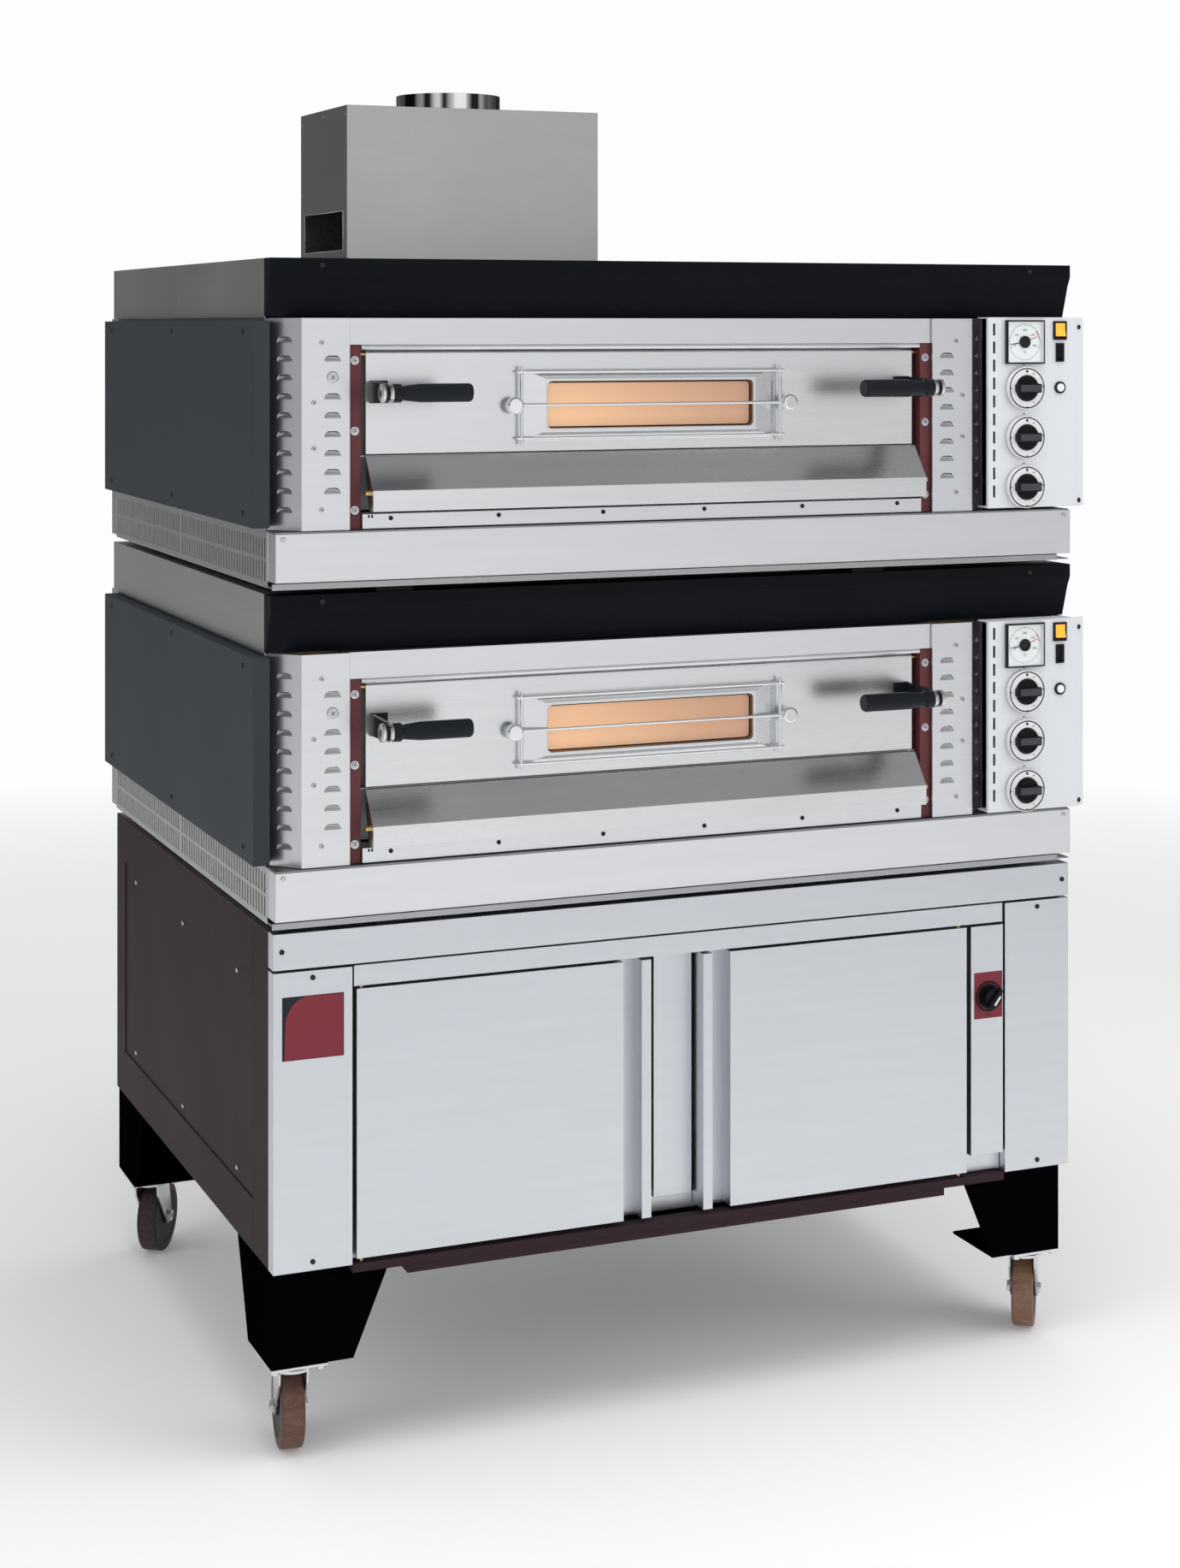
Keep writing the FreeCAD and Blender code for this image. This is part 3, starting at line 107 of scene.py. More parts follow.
def vectorMaths(tree, operation, first, second=(0, 0, 0)):
    node = addNode(tree, "ShaderNodeVectorMath", operation=operation)
    plugEach(tree, node, {0: first, 1: second})
    return node.outputs["Value" if operation in ("LENGTH", "DOT_PRODUCT") else "Vector"]


def scaleVector(tree, vector, amount):
    node = addNode(tree, "ShaderNodeVectorMath", operation="SCALE")
    plugEach(tree, node, {0: vector, "Scale": amount})
    return node.outputs[0]


def splitAxes(tree, vector):
    node = addNode(tree, "ShaderNodeSeparateXYZ")
    plug(tree, vector, node.inputs[0])
    return node.outputs[0], node.outputs[1], node.outputs[2]


def mixColour(tree, factor, first, second, blend="MIX"):
    node = addNode(tree, "ShaderNodeMix", data_type="RGBA", blend_type=blend)
    plugEach(tree, node, {0: factor, 6: first, 7: second})
    return node.outputs[2]


def mixNumber(tree, factor, first, second):
    node = addNode(tree, "ShaderNodeMix", data_type="FLOAT")
    plugEach(tree, node, {0: factor, 2: first, 3: second})
    return node.outputs[0]


def rescale(tree, value, low, high, newLow=0.0, newHigh=1.0):
    node = addNode(tree, "ShaderNodeMapRange", clamp=True)
    plugEach(tree, node, {0: value, 1: low, 2: high, 3: newLow, 4: newHigh})
    return node.outputs[0]


def noise(tree, vector, scale, detail=3.0, roughness=0.55):
    node = addNode(tree, "ShaderNodeTexNoise")
    plugEach(tree, node, {"Vector": vector, "Scale": scale, "Detail": detail, "Roughness": roughness})
    return node.outputs["Fac"]


def startGroup(name, inputs, outputs):
    tree = bpy.data.node_groups.new(name, "ShaderNodeTree")
    for label, kind, default in inputs:
        socket = tree.interface.new_socket(name=label, in_out="INPUT", socket_type="NodeSocket" + kind)
        socket.default_value = default
    for label, kind in outputs:
        tree.interface.new_socket(name=label, in_out="OUTPUT", socket_type="NodeSocket" + kind)
    return tree, tree.nodes.new("NodeGroupInput").outputs, tree.nodes.new("NodeGroupOutput").inputs


def useGroup(tree, group, **values):
    node = addNode(tree, "ShaderNodeGroup", node_tree=group)
    plugEach(tree, node, values)
    return node.outputs


def objectPoint(tree):
    return addNode(tree, "ShaderNodeTexCoord").outputs["Object"]


def makeBrushGroup():
    # drawn lines, wider streaks and a cloud of handling marks on rolled sheet
    tree, given, out = startGroup("brushLines",
        [("Colour", "Color", (0.7, 0.7, 0.7, 1)), ("Stretch", "Vector", (10, 900, 900)),
         ("Grain", "Float", 0.1), ("Streak", "Float", 0.06), ("Cloud", "Float", 0.05),
         ("Rough", "Float", 0.32)],
        [("Colour", "Color"), ("Roughness", "Float"), ("Height", "Float")])
    point = objectPoint(tree)
    stretched = vectorMaths(tree, "MULTIPLY", point, given["Stretch"])
    fine = noise(tree, stretched, 1.0, 4.0, 0.65)
    wide = noise(tree, vectorMaths(tree, "MULTIPLY", stretched, (0.35, 0.07, 0.07)), 1.0, 2.0)
    cloud = noise(tree, point, 3.1, 3.0, 0.5)
    tone = 1.0
    for source, strength in ((fine, "Grain"), (wide, "Streak"), (cloud, "Cloud")):
        centred = maths(tree, "SUBTRACT", source, 0.5)
        tone = maths(tree, "ADD", maths(tree, "MULTIPLY", centred, given[strength]), tone)
    plug(tree, scaleVector(tree, given["Colour"], tone), out["Colour"])
    rough = maths(tree, "MULTIPLY_ADD", maths(tree, "SUBTRACT", cloud, 0.5), 0.16, given["Rough"])
    rough = maths(tree, "MULTIPLY_ADD", maths(tree, "SUBTRACT", fine, 0.5), 0.14, rough)
    plug(tree, rough, out["Roughness"])
    plug(tree, maths(tree, "MULTIPLY_ADD", wide, 0.4, fine), out["Height"])
    return tree


def makePaintGroup():
    # fine pebble of powder coat with slow tone changes and a little dust
    tree, given, out = startGroup("paintSkin",
        [("Colour", "Color", (0.05, 0.05, 0.05, 1)), ("Pebble", "Float", 900.0), ("Tone", "Float", 0.2),
         ("Rough", "Float", 0.4), ("Dust", "Float", 0.04)],
        [("Colour", "Color"), ("Roughness", "Float"), ("Height", "Float")])
    point = objectPoint(tree)
    pebble = noise(tree, point, given["Pebble"], 2.0, 0.5)
    cloud = noise(tree, point, 4.3, 4.0, 0.6)
    speck = rescale(tree, noise(tree, point, 260.0, 2.0), 0.60, 0.72)
    tone = maths(tree, "MULTIPLY_ADD", maths(tree, "SUBTRACT", cloud, 0.5), given["Tone"], 1.0)
    scaled = scaleVector(tree, given["Colour"], tone)
    dust = maths(tree, "MULTIPLY", speck, given["Dust"])
    plug(tree, mixColour(tree, dust, scaled, (0.55, 0.52, 0.48, 1)), out["Colour"])
    uneven = maths(tree, "SUBTRACT", cloud, 0.5)
    plug(tree, maths(tree, "MULTIPLY_ADD", uneven, 0.18, given["Rough"]), out["Roughness"])
    plug(tree, pebble, out["Height"])
    return tree


def makeEdgeGroup():
    # rounded fold lines, and a mask along edges where the finish is rubbed and a painted highlight is laid
    tree, given, out = startGroup("foldedEdge",
        [("Radius", "Float", 0.0012), ("Broken", "Float", 0.5)],
        [("Mask", "Float"), ("Normal", "Vector")])
    bevel = addNode(tree, "ShaderNodeBevel", samples=4)
    plug(tree, given["Radius"], bevel.inputs["Radius"])
    flat = addNode(tree, "ShaderNodeNewGeometry").outputs["Normal"]
    turned = maths(tree, "SUBTRACT", 1.0, vectorMaths(tree, "DOT_PRODUCT", bevel.outputs[0], flat))
    edgeWearAndHighlight = rescale(tree, turned, 0.02, 0.25)
    patch = rescale(tree, noise(tree, objectPoint(tree), 38.0, 3.0), 0.35, 0.65)
    plug(tree, maths(tree, "MULTIPLY", edgeWearAndHighlight, mixNumber(tree, given["Broken"], 1.0, patch)), out["Mask"])
    plug(tree, bevel.outputs[0], out["Normal"])
    return tree


def makeBoxGroup():
    # 1 inside a box given by its middle and half sizes, 0 outside
    tree, given, out = startGroup("insideBox",
        [("Middle", "Vector", (0, 0, 0)), ("Half", "Vector", (1, 1, 1))], [("Mask", "Float")])
    away = vectorMaths(tree, "ABSOLUTE", vectorMaths(tree, "SUBTRACT", objectPoint(tree), given["Middle"]))
    x, y, z = splitAxes(tree, vectorMaths(tree, "SUBTRACT", given["Half"], away))
    least = maths(tree, "MINIMUM", maths(tree, "MINIMUM", x, y), z)
    plug(tree, maths(tree, "GREATER_THAN", least, 0.0), out["Mask"])
    return tree


brushLines = makeBrushGroup()
paintSkin = makePaintGroup()
foldedEdge = makeEdgeGroup()
insideBox = makeBoxGroup()


def boxMask(tree, low, high):
    middle = (Vector(low) + Vector(high)) / 2
    half = (Vector(high) - Vector(low)) / 2
    return useGroup(tree, insideBox, Middle=middle, Half=half)["Mask"]


def anyOf(tree, masks):
    total = masks[0]
    for mask in masks[1:]:
        total = maths(tree, "MAXIMUM", total, mask)
    return total


def startMaterial(name, settings=None):
    material = bpy.data.materials.new(name)
    material.use_nodes = True
    tree = material.node_tree
    shader = tree.nodes["Principled BSDF"]
    plugEach(tree, shader, settings or {})
    return material, tree, shader


def finishSurface(tree, shader, colour, roughness, height, depth, edgeNormal=None):
    bump = addNode(tree, "ShaderNodeBump")
    plugEach(tree, bump, {"Strength": 0.6, "Distance": depth, "Height": height})
    if edgeNormal is not None:
        plug(tree, edgeNormal, bump.inputs["Normal"])
    plugEach(tree, shader, {"Base Color": colour, "Roughness": roughness, "Normal": bump.outputs["Normal"]})


def brushedMetal(name, colour, stretch=(10, 900, 900), grain=0.12, streak=0.07, cloud=0.06, rough=0.32,
                 edgeWearAndHighlight=(0.9, 0.9, 0.9), depth=0.00003, metallic=1.0):
    material, tree, shader = startMaterial(name, {"Metallic": metallic})
    brush = useGroup(tree, brushLines, Colour=(*colour, 1), Stretch=stretch, Grain=grain, Streak=streak,
                     Cloud=cloud, Rough=rough)
    fold = useGroup(tree, foldedEdge, Radius=0.0012, Broken=0.3)
    # edges lightened toward the edge colour: rubbed finish and painted highlight along the folds
    tint = mixColour(tree, maths(tree, "MULTIPLY", fold["Mask"], 0.6), brush["Colour"], (*edgeWearAndHighlight, 1))
    finishSurface(tree, shader, tint, brush["Roughness"], brush["Height"], depth, fold["Normal"])
    return material


def powderPaint(name, colour, rough=0.4, pebble=900.0, tone=0.2, dust=0.04, edgeWearAndHighlight=(0.3, 0.3, 0.3), wearAndHighlight=0.25,
                gloss=0.5, depth=0.00006):
    material, tree, shader = startMaterial(name, {"Specular IOR Level": gloss})
    skin = useGroup(tree, paintSkin, Colour=(*colour, 1), Pebble=pebble, Tone=tone, Rough=rough, Dust=dust)
    fold = useGroup(tree, foldedEdge, Radius=0.0015, Broken=0.9)
    # edges lightened toward the edge colour: rubbed paint and painted highlight
    tint = mixColour(tree, maths(tree, "MULTIPLY", fold["Mask"], wearAndHighlight), skin["Colour"], (*edgeWearAndHighlight, 1))
    finishSurface(tree, shader, tint, skin["Roughness"], skin["Height"], depth, fold["Normal"])
    return material


def plastic(name, colour, rough=0.3, pebble=1800.0, dust=0.02, glow=None, strength=0.0, gloss=0.5):
    # edge colour lighter than the body: rubbed plastic and painted highlight
    edgeWearAndHighlight = tuple(min(1, part * 2 + 0.02) for part in colour)
    material = powderPaint(name, colour, rough, pebble, 0.12, dust, edgeWearAndHighlight,
                           wearAndHighlight=0.35, gloss=gloss, depth=0.00002)
    if glow:
        shader = material.node_tree.nodes["Principled BSDF"]
        plugEach(material.node_tree, shader, {"Emission Color": (*glow, 1), "Emission Strength": strength})
    return material


drawnAcross, drawnBack = (9, 900, 900), (900, 9, 900)     # the way the sheet was brushed
frontSteel = brushedMetal("frontSteel", (0.79, 0.80, 0.82), drawnAcross, rough=0.34, grain=0.09)
cabinetSteel = brushedMetal("cabinetSteel", (0.655, 0.675, 0.71), drawnAcross, rough=0.36, grain=0.08)
louvreSteel = brushedMetal("louvreSteel", (0.62, 0.62, 0.60), drawnAcross, rough=0.42, grain=0.09)
doorSteel = brushedMetal("doorSteel", (0.79, 0.80, 0.81), drawnAcross, rough=0.26, grain=0.09, cloud=0.16)
sideSteel = brushedMetal("sideSteel", (0.56, 0.58, 0.57), drawnBack, rough=0.40, streak=0.10, cloud=0.12)
innerSteel = brushedMetal("innerSteel", (0.45, 0.46, 0.47), stretch=(60, 60, 60), rough=0.45, cloud=0.25)
hoodSteel = brushedMetal("hoodSteel", (0.49, 0.49, 0.475), stretch=(40, 500, 500), rough=0.30, grain=0.16,
                         edgeWearAndHighlight=(0.7, 0.7, 0.7))
chrome = brushedMetal("chrome", (0.86, 0.87, 0.88), (200, 200, 200), rough=0.10, grain=0.03, streak=0.02)
zincSteel = brushedMetal("zincSteel", (0.72, 0.73, 0.72), stretch=(160, 160, 160), rough=0.28, cloud=0.2)
brass = brushedMetal("brass", (0.72, 0.52, 0.22), stretch=(300, 300, 300), rough=0.28, edgeWearAndHighlight=(0.9, 0.75, 0.4))
burnerSteel = brushedMetal("burnerSteel", (0.33, 0.30, 0.28), stretch=(90, 90, 90), rough=0.5, cloud=0.5)
blackPaint = powderPaint("blackPaint", (0.0042, 0.0056, 0.0078), rough=0.46, dust=0.006, gloss=0.06,
                         edgeWearAndHighlight=(0.02, 0.024, 0.03))
# the black band paint made lighter: painted light from the left on the side boxes
boxPaintLit = powderPaint("boxPaintLit", (0.038, 0.045, 0.052), rough=0.5, dust=0.012, gloss=0.12,
                       edgeWearAndHighlight=(0.08, 0.09, 0.10))
# the black paint made darker: painted shade on the leg frames
legPaintShaded = powderPaint("legPaintShaded", (0.0012, 0.0014, 0.0022), rough=0.55, dust=0.002, gloss=0.0,
                       edgeWearAndHighlight=(0.012, 0.012, 0.015))
maroonPaint = powderPaint("maroonPaint", (0.036, 0.022, 0.027), rough=0.5, tone=0.3, dust=0.008, gloss=0.04,
                          edgeWearAndHighlight=(0.10, 0.05, 0.06))
maroonStrip = powderPaint("maroonStrip", (0.125, 0.030, 0.036), rough=0.40, dust=0.02, gloss=0.3,
                          edgeWearAndHighlight=(0.3, 0.12, 0.12))
whitePanel = powderPaint("whitePanel", (0.70, 0.72, 0.745), rough=0.36, tone=0.05, dust=0.01, gloss=0.3,
                         edgeWearAndHighlight=(0.9, 0.9, 0.9))
blackPlastic = plastic("blackPlastic", (0.0040, 0.0050, 0.0070), rough=0.30, dust=0.004, gloss=0.15)
greyInlay = plastic("greyInlay", (0.046, 0.050, 0.056), rough=0.38, gloss=0.3)
whitePrint = plastic("whitePrint", (0.80, 0.83, 0.84), rough=0.35)
# black for print, and for painted shade in screw recesses, rail slots and louvre openings
blackPrintAndShade = plastic("blackPrintAndShade", (0.008, 0.008, 0.010), rough=0.4, dust=0.0, gloss=0.2)
redPrint = plastic("redPrint", (0.55, 0.03, 0.03), rough=0.4)
redLabel = plastic("redLabel", (0.20, 0.026, 0.038), rough=0.42, gloss=0.25)
darkLabel = plastic("darkLabel", (0.010, 0.013, 0.022), rough=0.42, gloss=0.25)
amberLens = plastic("amberLens", (0.85, 0.34, 0.03), rough=0.2, glow=(1.0, 0.40, 0.03), strength=0.55)
whiteButton = plastic("whiteButton", (0.85, 0.85, 0.85), rough=0.25)
rubber = powderPaint("rubber", (0.010, 0.010, 0.011), rough=0.7, pebble=500, dust=0.01, gloss=0.2,
                     edgeWearAndHighlight=(0.04, 0.04, 0.04))
gasketTape = powderPaint("gasketTape", (0.50, 0.47, 0.41), rough=0.9, pebble=420, gloss=0.1, depth=0.0003,
                         edgeWearAndHighlight=(0.6, 0.57, 0.5))
lampPlastic = plastic("lampPlastic", (0.92, 0.80, 0.58), rough=0.12, glow=(1.0, 0.72, 0.42), strength=1.4)


def collarMaterial():
    # rolled bright strip with painted reflection: dark and bright bands by angle that run up the wall
    material, tree, shader = startMaterial("collarSteel", {"Metallic": 1.0})
    low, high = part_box("flue_collar")
    middle = (low + high) / 2
    x, y = splitAxes(tree, vectorMaths(tree, "SUBTRACT", objectPoint(tree), middle))[:2]
    # painted reflection: bands by angle round the collar
    angle = maths(tree, "ARCTAN2", y, x)
    reflectionBandPlace = addNode(tree, "ShaderNodeCombineXYZ")
    plug(tree, maths(tree, "MULTIPLY_ADD", angle, 2.1, 1.7), reflectionBandPlace.inputs[0])
    reflectionBands = rescale(tree, noise(tree, reflectionBandPlace.outputs[0], 1.35, 1.0, 0.3), 0.44, 0.56)
    brush = useGroup(tree, brushLines, Colour=(1, 1, 1, 1), Stretch=(700, 700, 12), Grain=0.05,
                     Streak=0.04, Cloud=0.05, Rough=0.16)
    tint = mixColour(tree, reflectionBands, (0.030, 0.027, 0.026, 1), (0.86, 0.85, 0.84, 1))
    tint = mixColour(tree, 1.0, tint, brush["Colour"], "MULTIPLY")
    fold = useGroup(tree, foldedEdge, Radius=0.0008, Broken=0.3)
    finishSurface(tree, shader, tint, brush["Roughness"], brush["Height"], 0.00002, fold["Normal"])
    return material


def wheelMaterial(name, turn, treadLitShaded, centre):
    # brown tyre with a dry rolling band, on a black hub; the tread colour carries painted light and shade
    material, tree, shader = startMaterial(name, {"Specular IOR Level": 0.3})
    away = vectorMaths(tree, "SUBTRACT", objectPoint(tree), centre)
    axle = (math.cos(turn), -math.sin(turn), 0.0)
    along = vectorMaths(tree, "DOT_PRODUCT", away, axle)
    axial = scaleVector(tree, axle, along)
    radius = vectorMaths(tree, "LENGTH", vectorMaths(tree, "SUBTRACT", away, axial))
    tyre = rescale(tree, radius, 0.0456, 0.0460)
    skin = useGroup(tree, paintSkin, Colour=(*treadLitShaded, 1), Pebble=340.0, Tone=0.45, Rough=0.5, Dust=0.10)
    scuff = noise(tree, vectorMaths(tree, "MULTIPLY", objectPoint(tree), (45, 45, 160)), 1.0, 4.0, 0.65)
    rolled = maths(tree, "MULTIPLY", rescale(tree, radius, 0.0612, 0.0624), rescale(tree, scuff, 0.35, 0.75))
    pale = (*[min(1, part * 2.3) for part in treadLitShaded], 1)
    dry = mixColour(tree, maths(tree, "MULTIPLY", rolled, 0.5), skin["Colour"], pale)
    tint = mixColour(tree, tyre, (0.010, 0.010, 0.011, 1), dry)
    finishSurface(tree, shader, tint, skin["Roughness"], skin["Height"], 0.00012)
    return material


def forkMaterial():
    # bright plated outside, darker and rougher in patches, more so from 118 mm down to 60 mm above the floor
    material, tree, shader = startMaterial("forkZinc", {"Metallic": 1.0})
    brush = useGroup(tree, brushLines, Colour=(0.70, 0.71, 0.71, 1), Stretch=(160, 160, 160), Grain=0.10,
                     Streak=0.08, Cloud=0.25, Rough=0.30)
    height = splitAxes(tree, objectPoint(tree))[2]
    lowerDarkening = maths(tree, "MULTIPLY", rescale(tree, height, 0.118, 0.060),
                  rescale(tree, noise(tree, objectPoint(tree), 55.0, 4.0), 0.30, 0.62))
    tint = mixColour(tree, maths(tree, "MULTIPLY", lowerDarkening, 0.85), brush["Colour"], (0.05, 0.048, 0.045, 1))
    fold = useGroup(tree, foldedEdge, Radius=0.0009, Broken=0.3)
    roughness = maths(tree, "MULTIPLY_ADD", lowerDarkening, 0.3, brush["Roughness"])
    finishSurface(tree, shader, tint, roughness, brush["Height"], 0.00003, fold["Normal"])
    return material


def stoneMaterial():
    material, tree, shader = startMaterial("hearthStone")
    point = objectPoint(tree)
    body = noise(tree, point, 14.0, 5.0, 0.6)
    grit = noise(tree, point, 420.0, 3.0, 0.6)
    scorch = rescale(tree, noise(tree, point, 5.5, 3.0), 0.52, 0.75)
    tint = mixColour(tree, body, (0.42, 0.34, 0.25, 1), (0.62, 0.54, 0.43, 1))
    tint = mixColour(tree, maths(tree, "MULTIPLY", scorch, 0.55), tint, (0.14, 0.10, 0.07, 1))
    pale = maths(tree, "MULTIPLY", rescale(tree, grit, 0.6, 0.7), 0.5)
    tint = mixColour(tree, pale, tint, (0.75, 0.7, 0.6, 1))
    finishSurface(tree, shader, tint, rescale(tree, grit, 0, 1, 0.75, 0.95), grit, 0.0004)
    return material


def woolMaterial():
    material, tree, shader = startMaterial("mineralWool")
    strands = noise(tree, vectorMaths(tree, "MULTIPLY", objectPoint(tree), (60, 400, 400)), 1.0, 4.0, 0.7)
    tint = mixColour(tree, strands, (0.38, 0.30, 0.16, 1), (0.66, 0.58, 0.38, 1))
    finishSurface(tree, shader, tint, 0.95, strands, 0.002)
    return material


def glassMaterial():
    # clear pane with a painted glow standing for the lit chamber behind it
    material, tree, shader = startMaterial("warmGlass", {
        "Metallic": 0.0, "Transmission Weight": 0.12, "Specular IOR Level": 0.3, "Emission Strength": 0.30})
    low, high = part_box("door_glass_lower")
    across = rescale(tree, splitAxes(tree, objectPoint(tree))[0], low.x, high.x)
    cloud = noise(tree, objectPoint(tree), 9.0, 2.0)
    # painted glow: lighter toward the left of the pane, in colour and emission alike
    tint = mixColour(tree, rescale(tree, across, 0.10, 0.85), (0.74, 0.46, 0.27, 1), (0.50, 0.29, 0.19, 1))
    tint = mixColour(tree, maths(tree, "MULTIPLY", cloud, 0.25), tint, (0.80, 0.55, 0.36, 1))
    rough = rescale(tree, cloud, 0.0, 1.0, 0.05, 0.16)
    plugEach(tree, shader, {"Base Color": tint, "Emission Color": tint, "Roughness": rough})
    return material


def clearMaterial():
    material, tree, shader = startMaterial("clearCover", {
        "Transmission Weight": 1.0, "Base Color": (0.97, 0.98, 0.98, 1)})
    haze = noise(tree, objectPoint(tree), 60.0)
    plug(tree, rescale(tree, haze, 0.0, 1.0, 0.02, 0.06), shader.inputs["Roughness"])
    plug(tree, rescale(tree, haze, 0.3, 0.7, 0.05, 0.10), shader.inputs["Alpha"])
    return material


def twoTone(name, first, second, masks, metallic=(0.0, 0.0), rough=(0.3, 0.3), pebble=1500.0, gloss=0.18):
    # one moulded or plated node whose pieces differ by where they sit
    material, tree, shader = startMaterial(name, {"Specular IOR Level": gloss})
    skin = useGroup(tree, paintSkin, Colour=(1, 1, 1, 1), Pebble=pebble, Tone=0.15, Rough=0.0, Dust=0.02)
    mask = anyOf(tree, [boxMask(tree, *corners) for corners in masks])
    tint = mixColour(tree, mask, (*first, 1), (*second, 1))
    tint = mixColour(tree, 1.0, tint, skin["Colour"], "MULTIPLY")
    fold = useGroup(tree, foldedEdge, Radius=0.0006, Broken=0.3)
    plug(tree, mixNumber(tree, mask, metallic[0], metallic[1]), shader.inputs["Metallic"])
    roughness = maths(tree, "ADD", mixNumber(tree, mask, rough[0], rough[1]), skin["Roughness"])
    finishSurface(tree, shader, tint, roughness, skin["Height"], 0.00002, fold["Normal"])
    return material


hearthStone = stoneMaterial()
mineralWool = woolMaterial()
warmGlass = glassMaterial()
clearCover = clearMaterial()
panelFront = -25.0                                        # face of the control panels


def middleOf(node):
    low, high = boxFromHome(node)
    return (low.x + high.x) / 2, (low.z + high.z) / 2


knobX = middleOf("control_knob_lower_1")[0]
switchX, buttonZ = middleOf("igniter_button_lower")
knobTop = boxFromHome("control_knob_lower_1")[0].y
skirtFace = panelFront - 10.0
gaugeUp = 362.5                                           # gauge, knobs and button above the deck's base
knobsUp = [middleOf("control_knob_lower_%d" % (i + 1))[1] - deckBase["lower"] for i in range(3)]
buttonUp = buttonZ - deckBase["lower"]
knobFinish = twoTone("knobFinish", (0.0050, 0.0060, 0.0080), (0.78, 0.78, 0.79),
                     [(at(1200, skirtFace - 0.05, 0), at(1400, 0, 2200))], rough=(0.30, 0.35))
fittingFinish = twoTone("fittingFinish", (0.0075, 0.0095, 0.013), (0.84, 0.85, 0.86),
                        [(at(ovenMid - 262, -200, 0), at(ovenMid + 262, 200, 2200))],
                        metallic=(0.0, 1.0), rough=(0.30, 0.09))
gaugeHalf = 33.4
instrumentFinish = twoTone("instrumentFinish", (0.010, 0.010, 0.011), (0.80, 0.81, 0.82),
                           [(at(knobX - gaugeHalf, -40, deckBase[n] + gaugeUp - gaugeHalf),
                             at(knobX + gaugeHalf, 30, deckBase[n] + gaugeUp + gaugeHalf))
                            for n in deckNames])


def screwMaterial():
    blackOnes = [(at(-10, -10, 280), at(1380, 1, 804)), (at(1366, -60, 800), at(1398, -10, 1800))]
    for name in deckNames:
        base = deckBase[name]
        blackOnes.append((at(150, -3, base + 92), at(1100, 4, base + 108)))
        blackOnes.append((at(-10, -6, base + 440), at(1380, 2, base + 500)))
        blackOnes.append((at(-30, 10, base + 90), at(-1, 1060, base + 400)))
        blackOnes.append((at(1371, 10, base + 90), at(1400, 1060, base + 400)))
    return twoTone("screwFinish", (0.60, 0.61, 0.61), (0.02, 0.02, 0.022), blackOnes,
                   metallic=(1.0, 0.0), rough=(0.25, 0.4))


nodeFinish = {
    "base_fascias": frontSteel, "pilasters": frontSteel, "mouth_rails": frontSteel,
    "cabinet_front_panels": cabinetSteel, "prover_door_": cabinetSteel,
    "oven_door_": doorSteel, "shelf_flap_": doorSteel,
    "door_glass_": warmGlass, "door_fittings_": fittingFinish,
    "front_bands": blackPaint, "side_boxes": boxPaintLit, "leg_frames": legPaintShaded,
    "cabinet_casing": maroonPaint, "hinge_strips": maroonStrip, "hinge_pins": brass,
    "deck_covers": sideSteel, "rear_covers": sideSteel,
    "deck_chassis": innerSteel, "cabinet_frame": innerSteel,
    "baking_chambers": innerSteel, "tray_runners": innerSteel,
    "hearth_stones": hearthStone,
    "insulation": mineralWool, "gas_burners": burnerSteel, "prover_heater": burnerSteel,
    "flue_hood": hoodSteel, "flue_collar": collarMaterial(), "panel_screws": screwMaterial(),
    "deck_pads": rubber, "control_panels": whitePanel, "panel_instruments": instrumentFinish,
    "control_knob_": knobFinish, "prover_knob": blackPlastic, "lamp_rocker_": amberLens,
    "light_rocker_": blackPlastic, "igniter_button_": whiteButton, "gauge_needle_": blackPrintAndShade,
    "castor_plates": zincSteel, "castor_fork_": forkMaterial(),
}
# tread colours per castor: a brown tyre colour with painted shade, much darker on the rear castors, and
# painted light, lighter at front right
castor = {"plateHalf": 44.0, "trail": 36.0, "radius": 62.5, "top": 148.0, "plate": 4.0,
          "turn": {"front_left": 8.0, "front_right": 35.0, "rear_left": 33.0, "rear_right": 20.0},
          "treadLitShaded": {"front_left": (0.105, 0.054, 0.038), "front_right": (0.165, 0.090, 0.058),
                    "rear_left": (0.030, 0.017, 0.017), "rear_right": (0.045, 0.026, 0.022)}}


def castorPivot(name):
    low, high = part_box("castor_plates")
    half = castor["plateHalf"] / 1000
    return Vector((low.x + half if name.endswith("left") else high.x - half,
                   low.y + half if name.startswith("front") else high.y - half, 0.0))


def wheelCentre(name):
    turn = math.radians(castor["turn"][name])
    away = castor["trail"] / 1000
    return castorPivot(name) + Vector((away * math.sin(turn), away * math.cos(turn), castor["radius"] / 1000))


for name, turn in castor["turn"].items():
    treadLitShaded = castor["treadLitShaded"][name]
    wheelFinish = wheelMaterial("wheel_" + name, math.radians(turn), treadLitShaded, wheelCentre(name))
    nodeFinish["castor_wheel_" + name] = wheelFinish
for nodeName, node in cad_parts.items():
    finish = [finish for start, finish in nodeFinish.items() if nodeName.startswith(start)]
    node.data.materials.clear()
    node.data.materials.append(finish[0])
print("materials ready:", len(bpy.data.materials))


def addPiece(name, mesh, finish, body, smooth=True):
    data = bpy.data.meshes.new(name)
    bmesh.ops.recalc_face_normals(mesh, faces=mesh.faces)
    mesh.to_mesh(data)
    mesh.free()
    data.materials.append(finish)
    item = bpy.data.objects.new(name, data)
    bpy.context.scene.collection.objects.link(item)
    if smooth:
        data.shade_smooth()
        data.set_sharp_from_angle(angle=math.radians(32))
    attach(item, body)
    return item


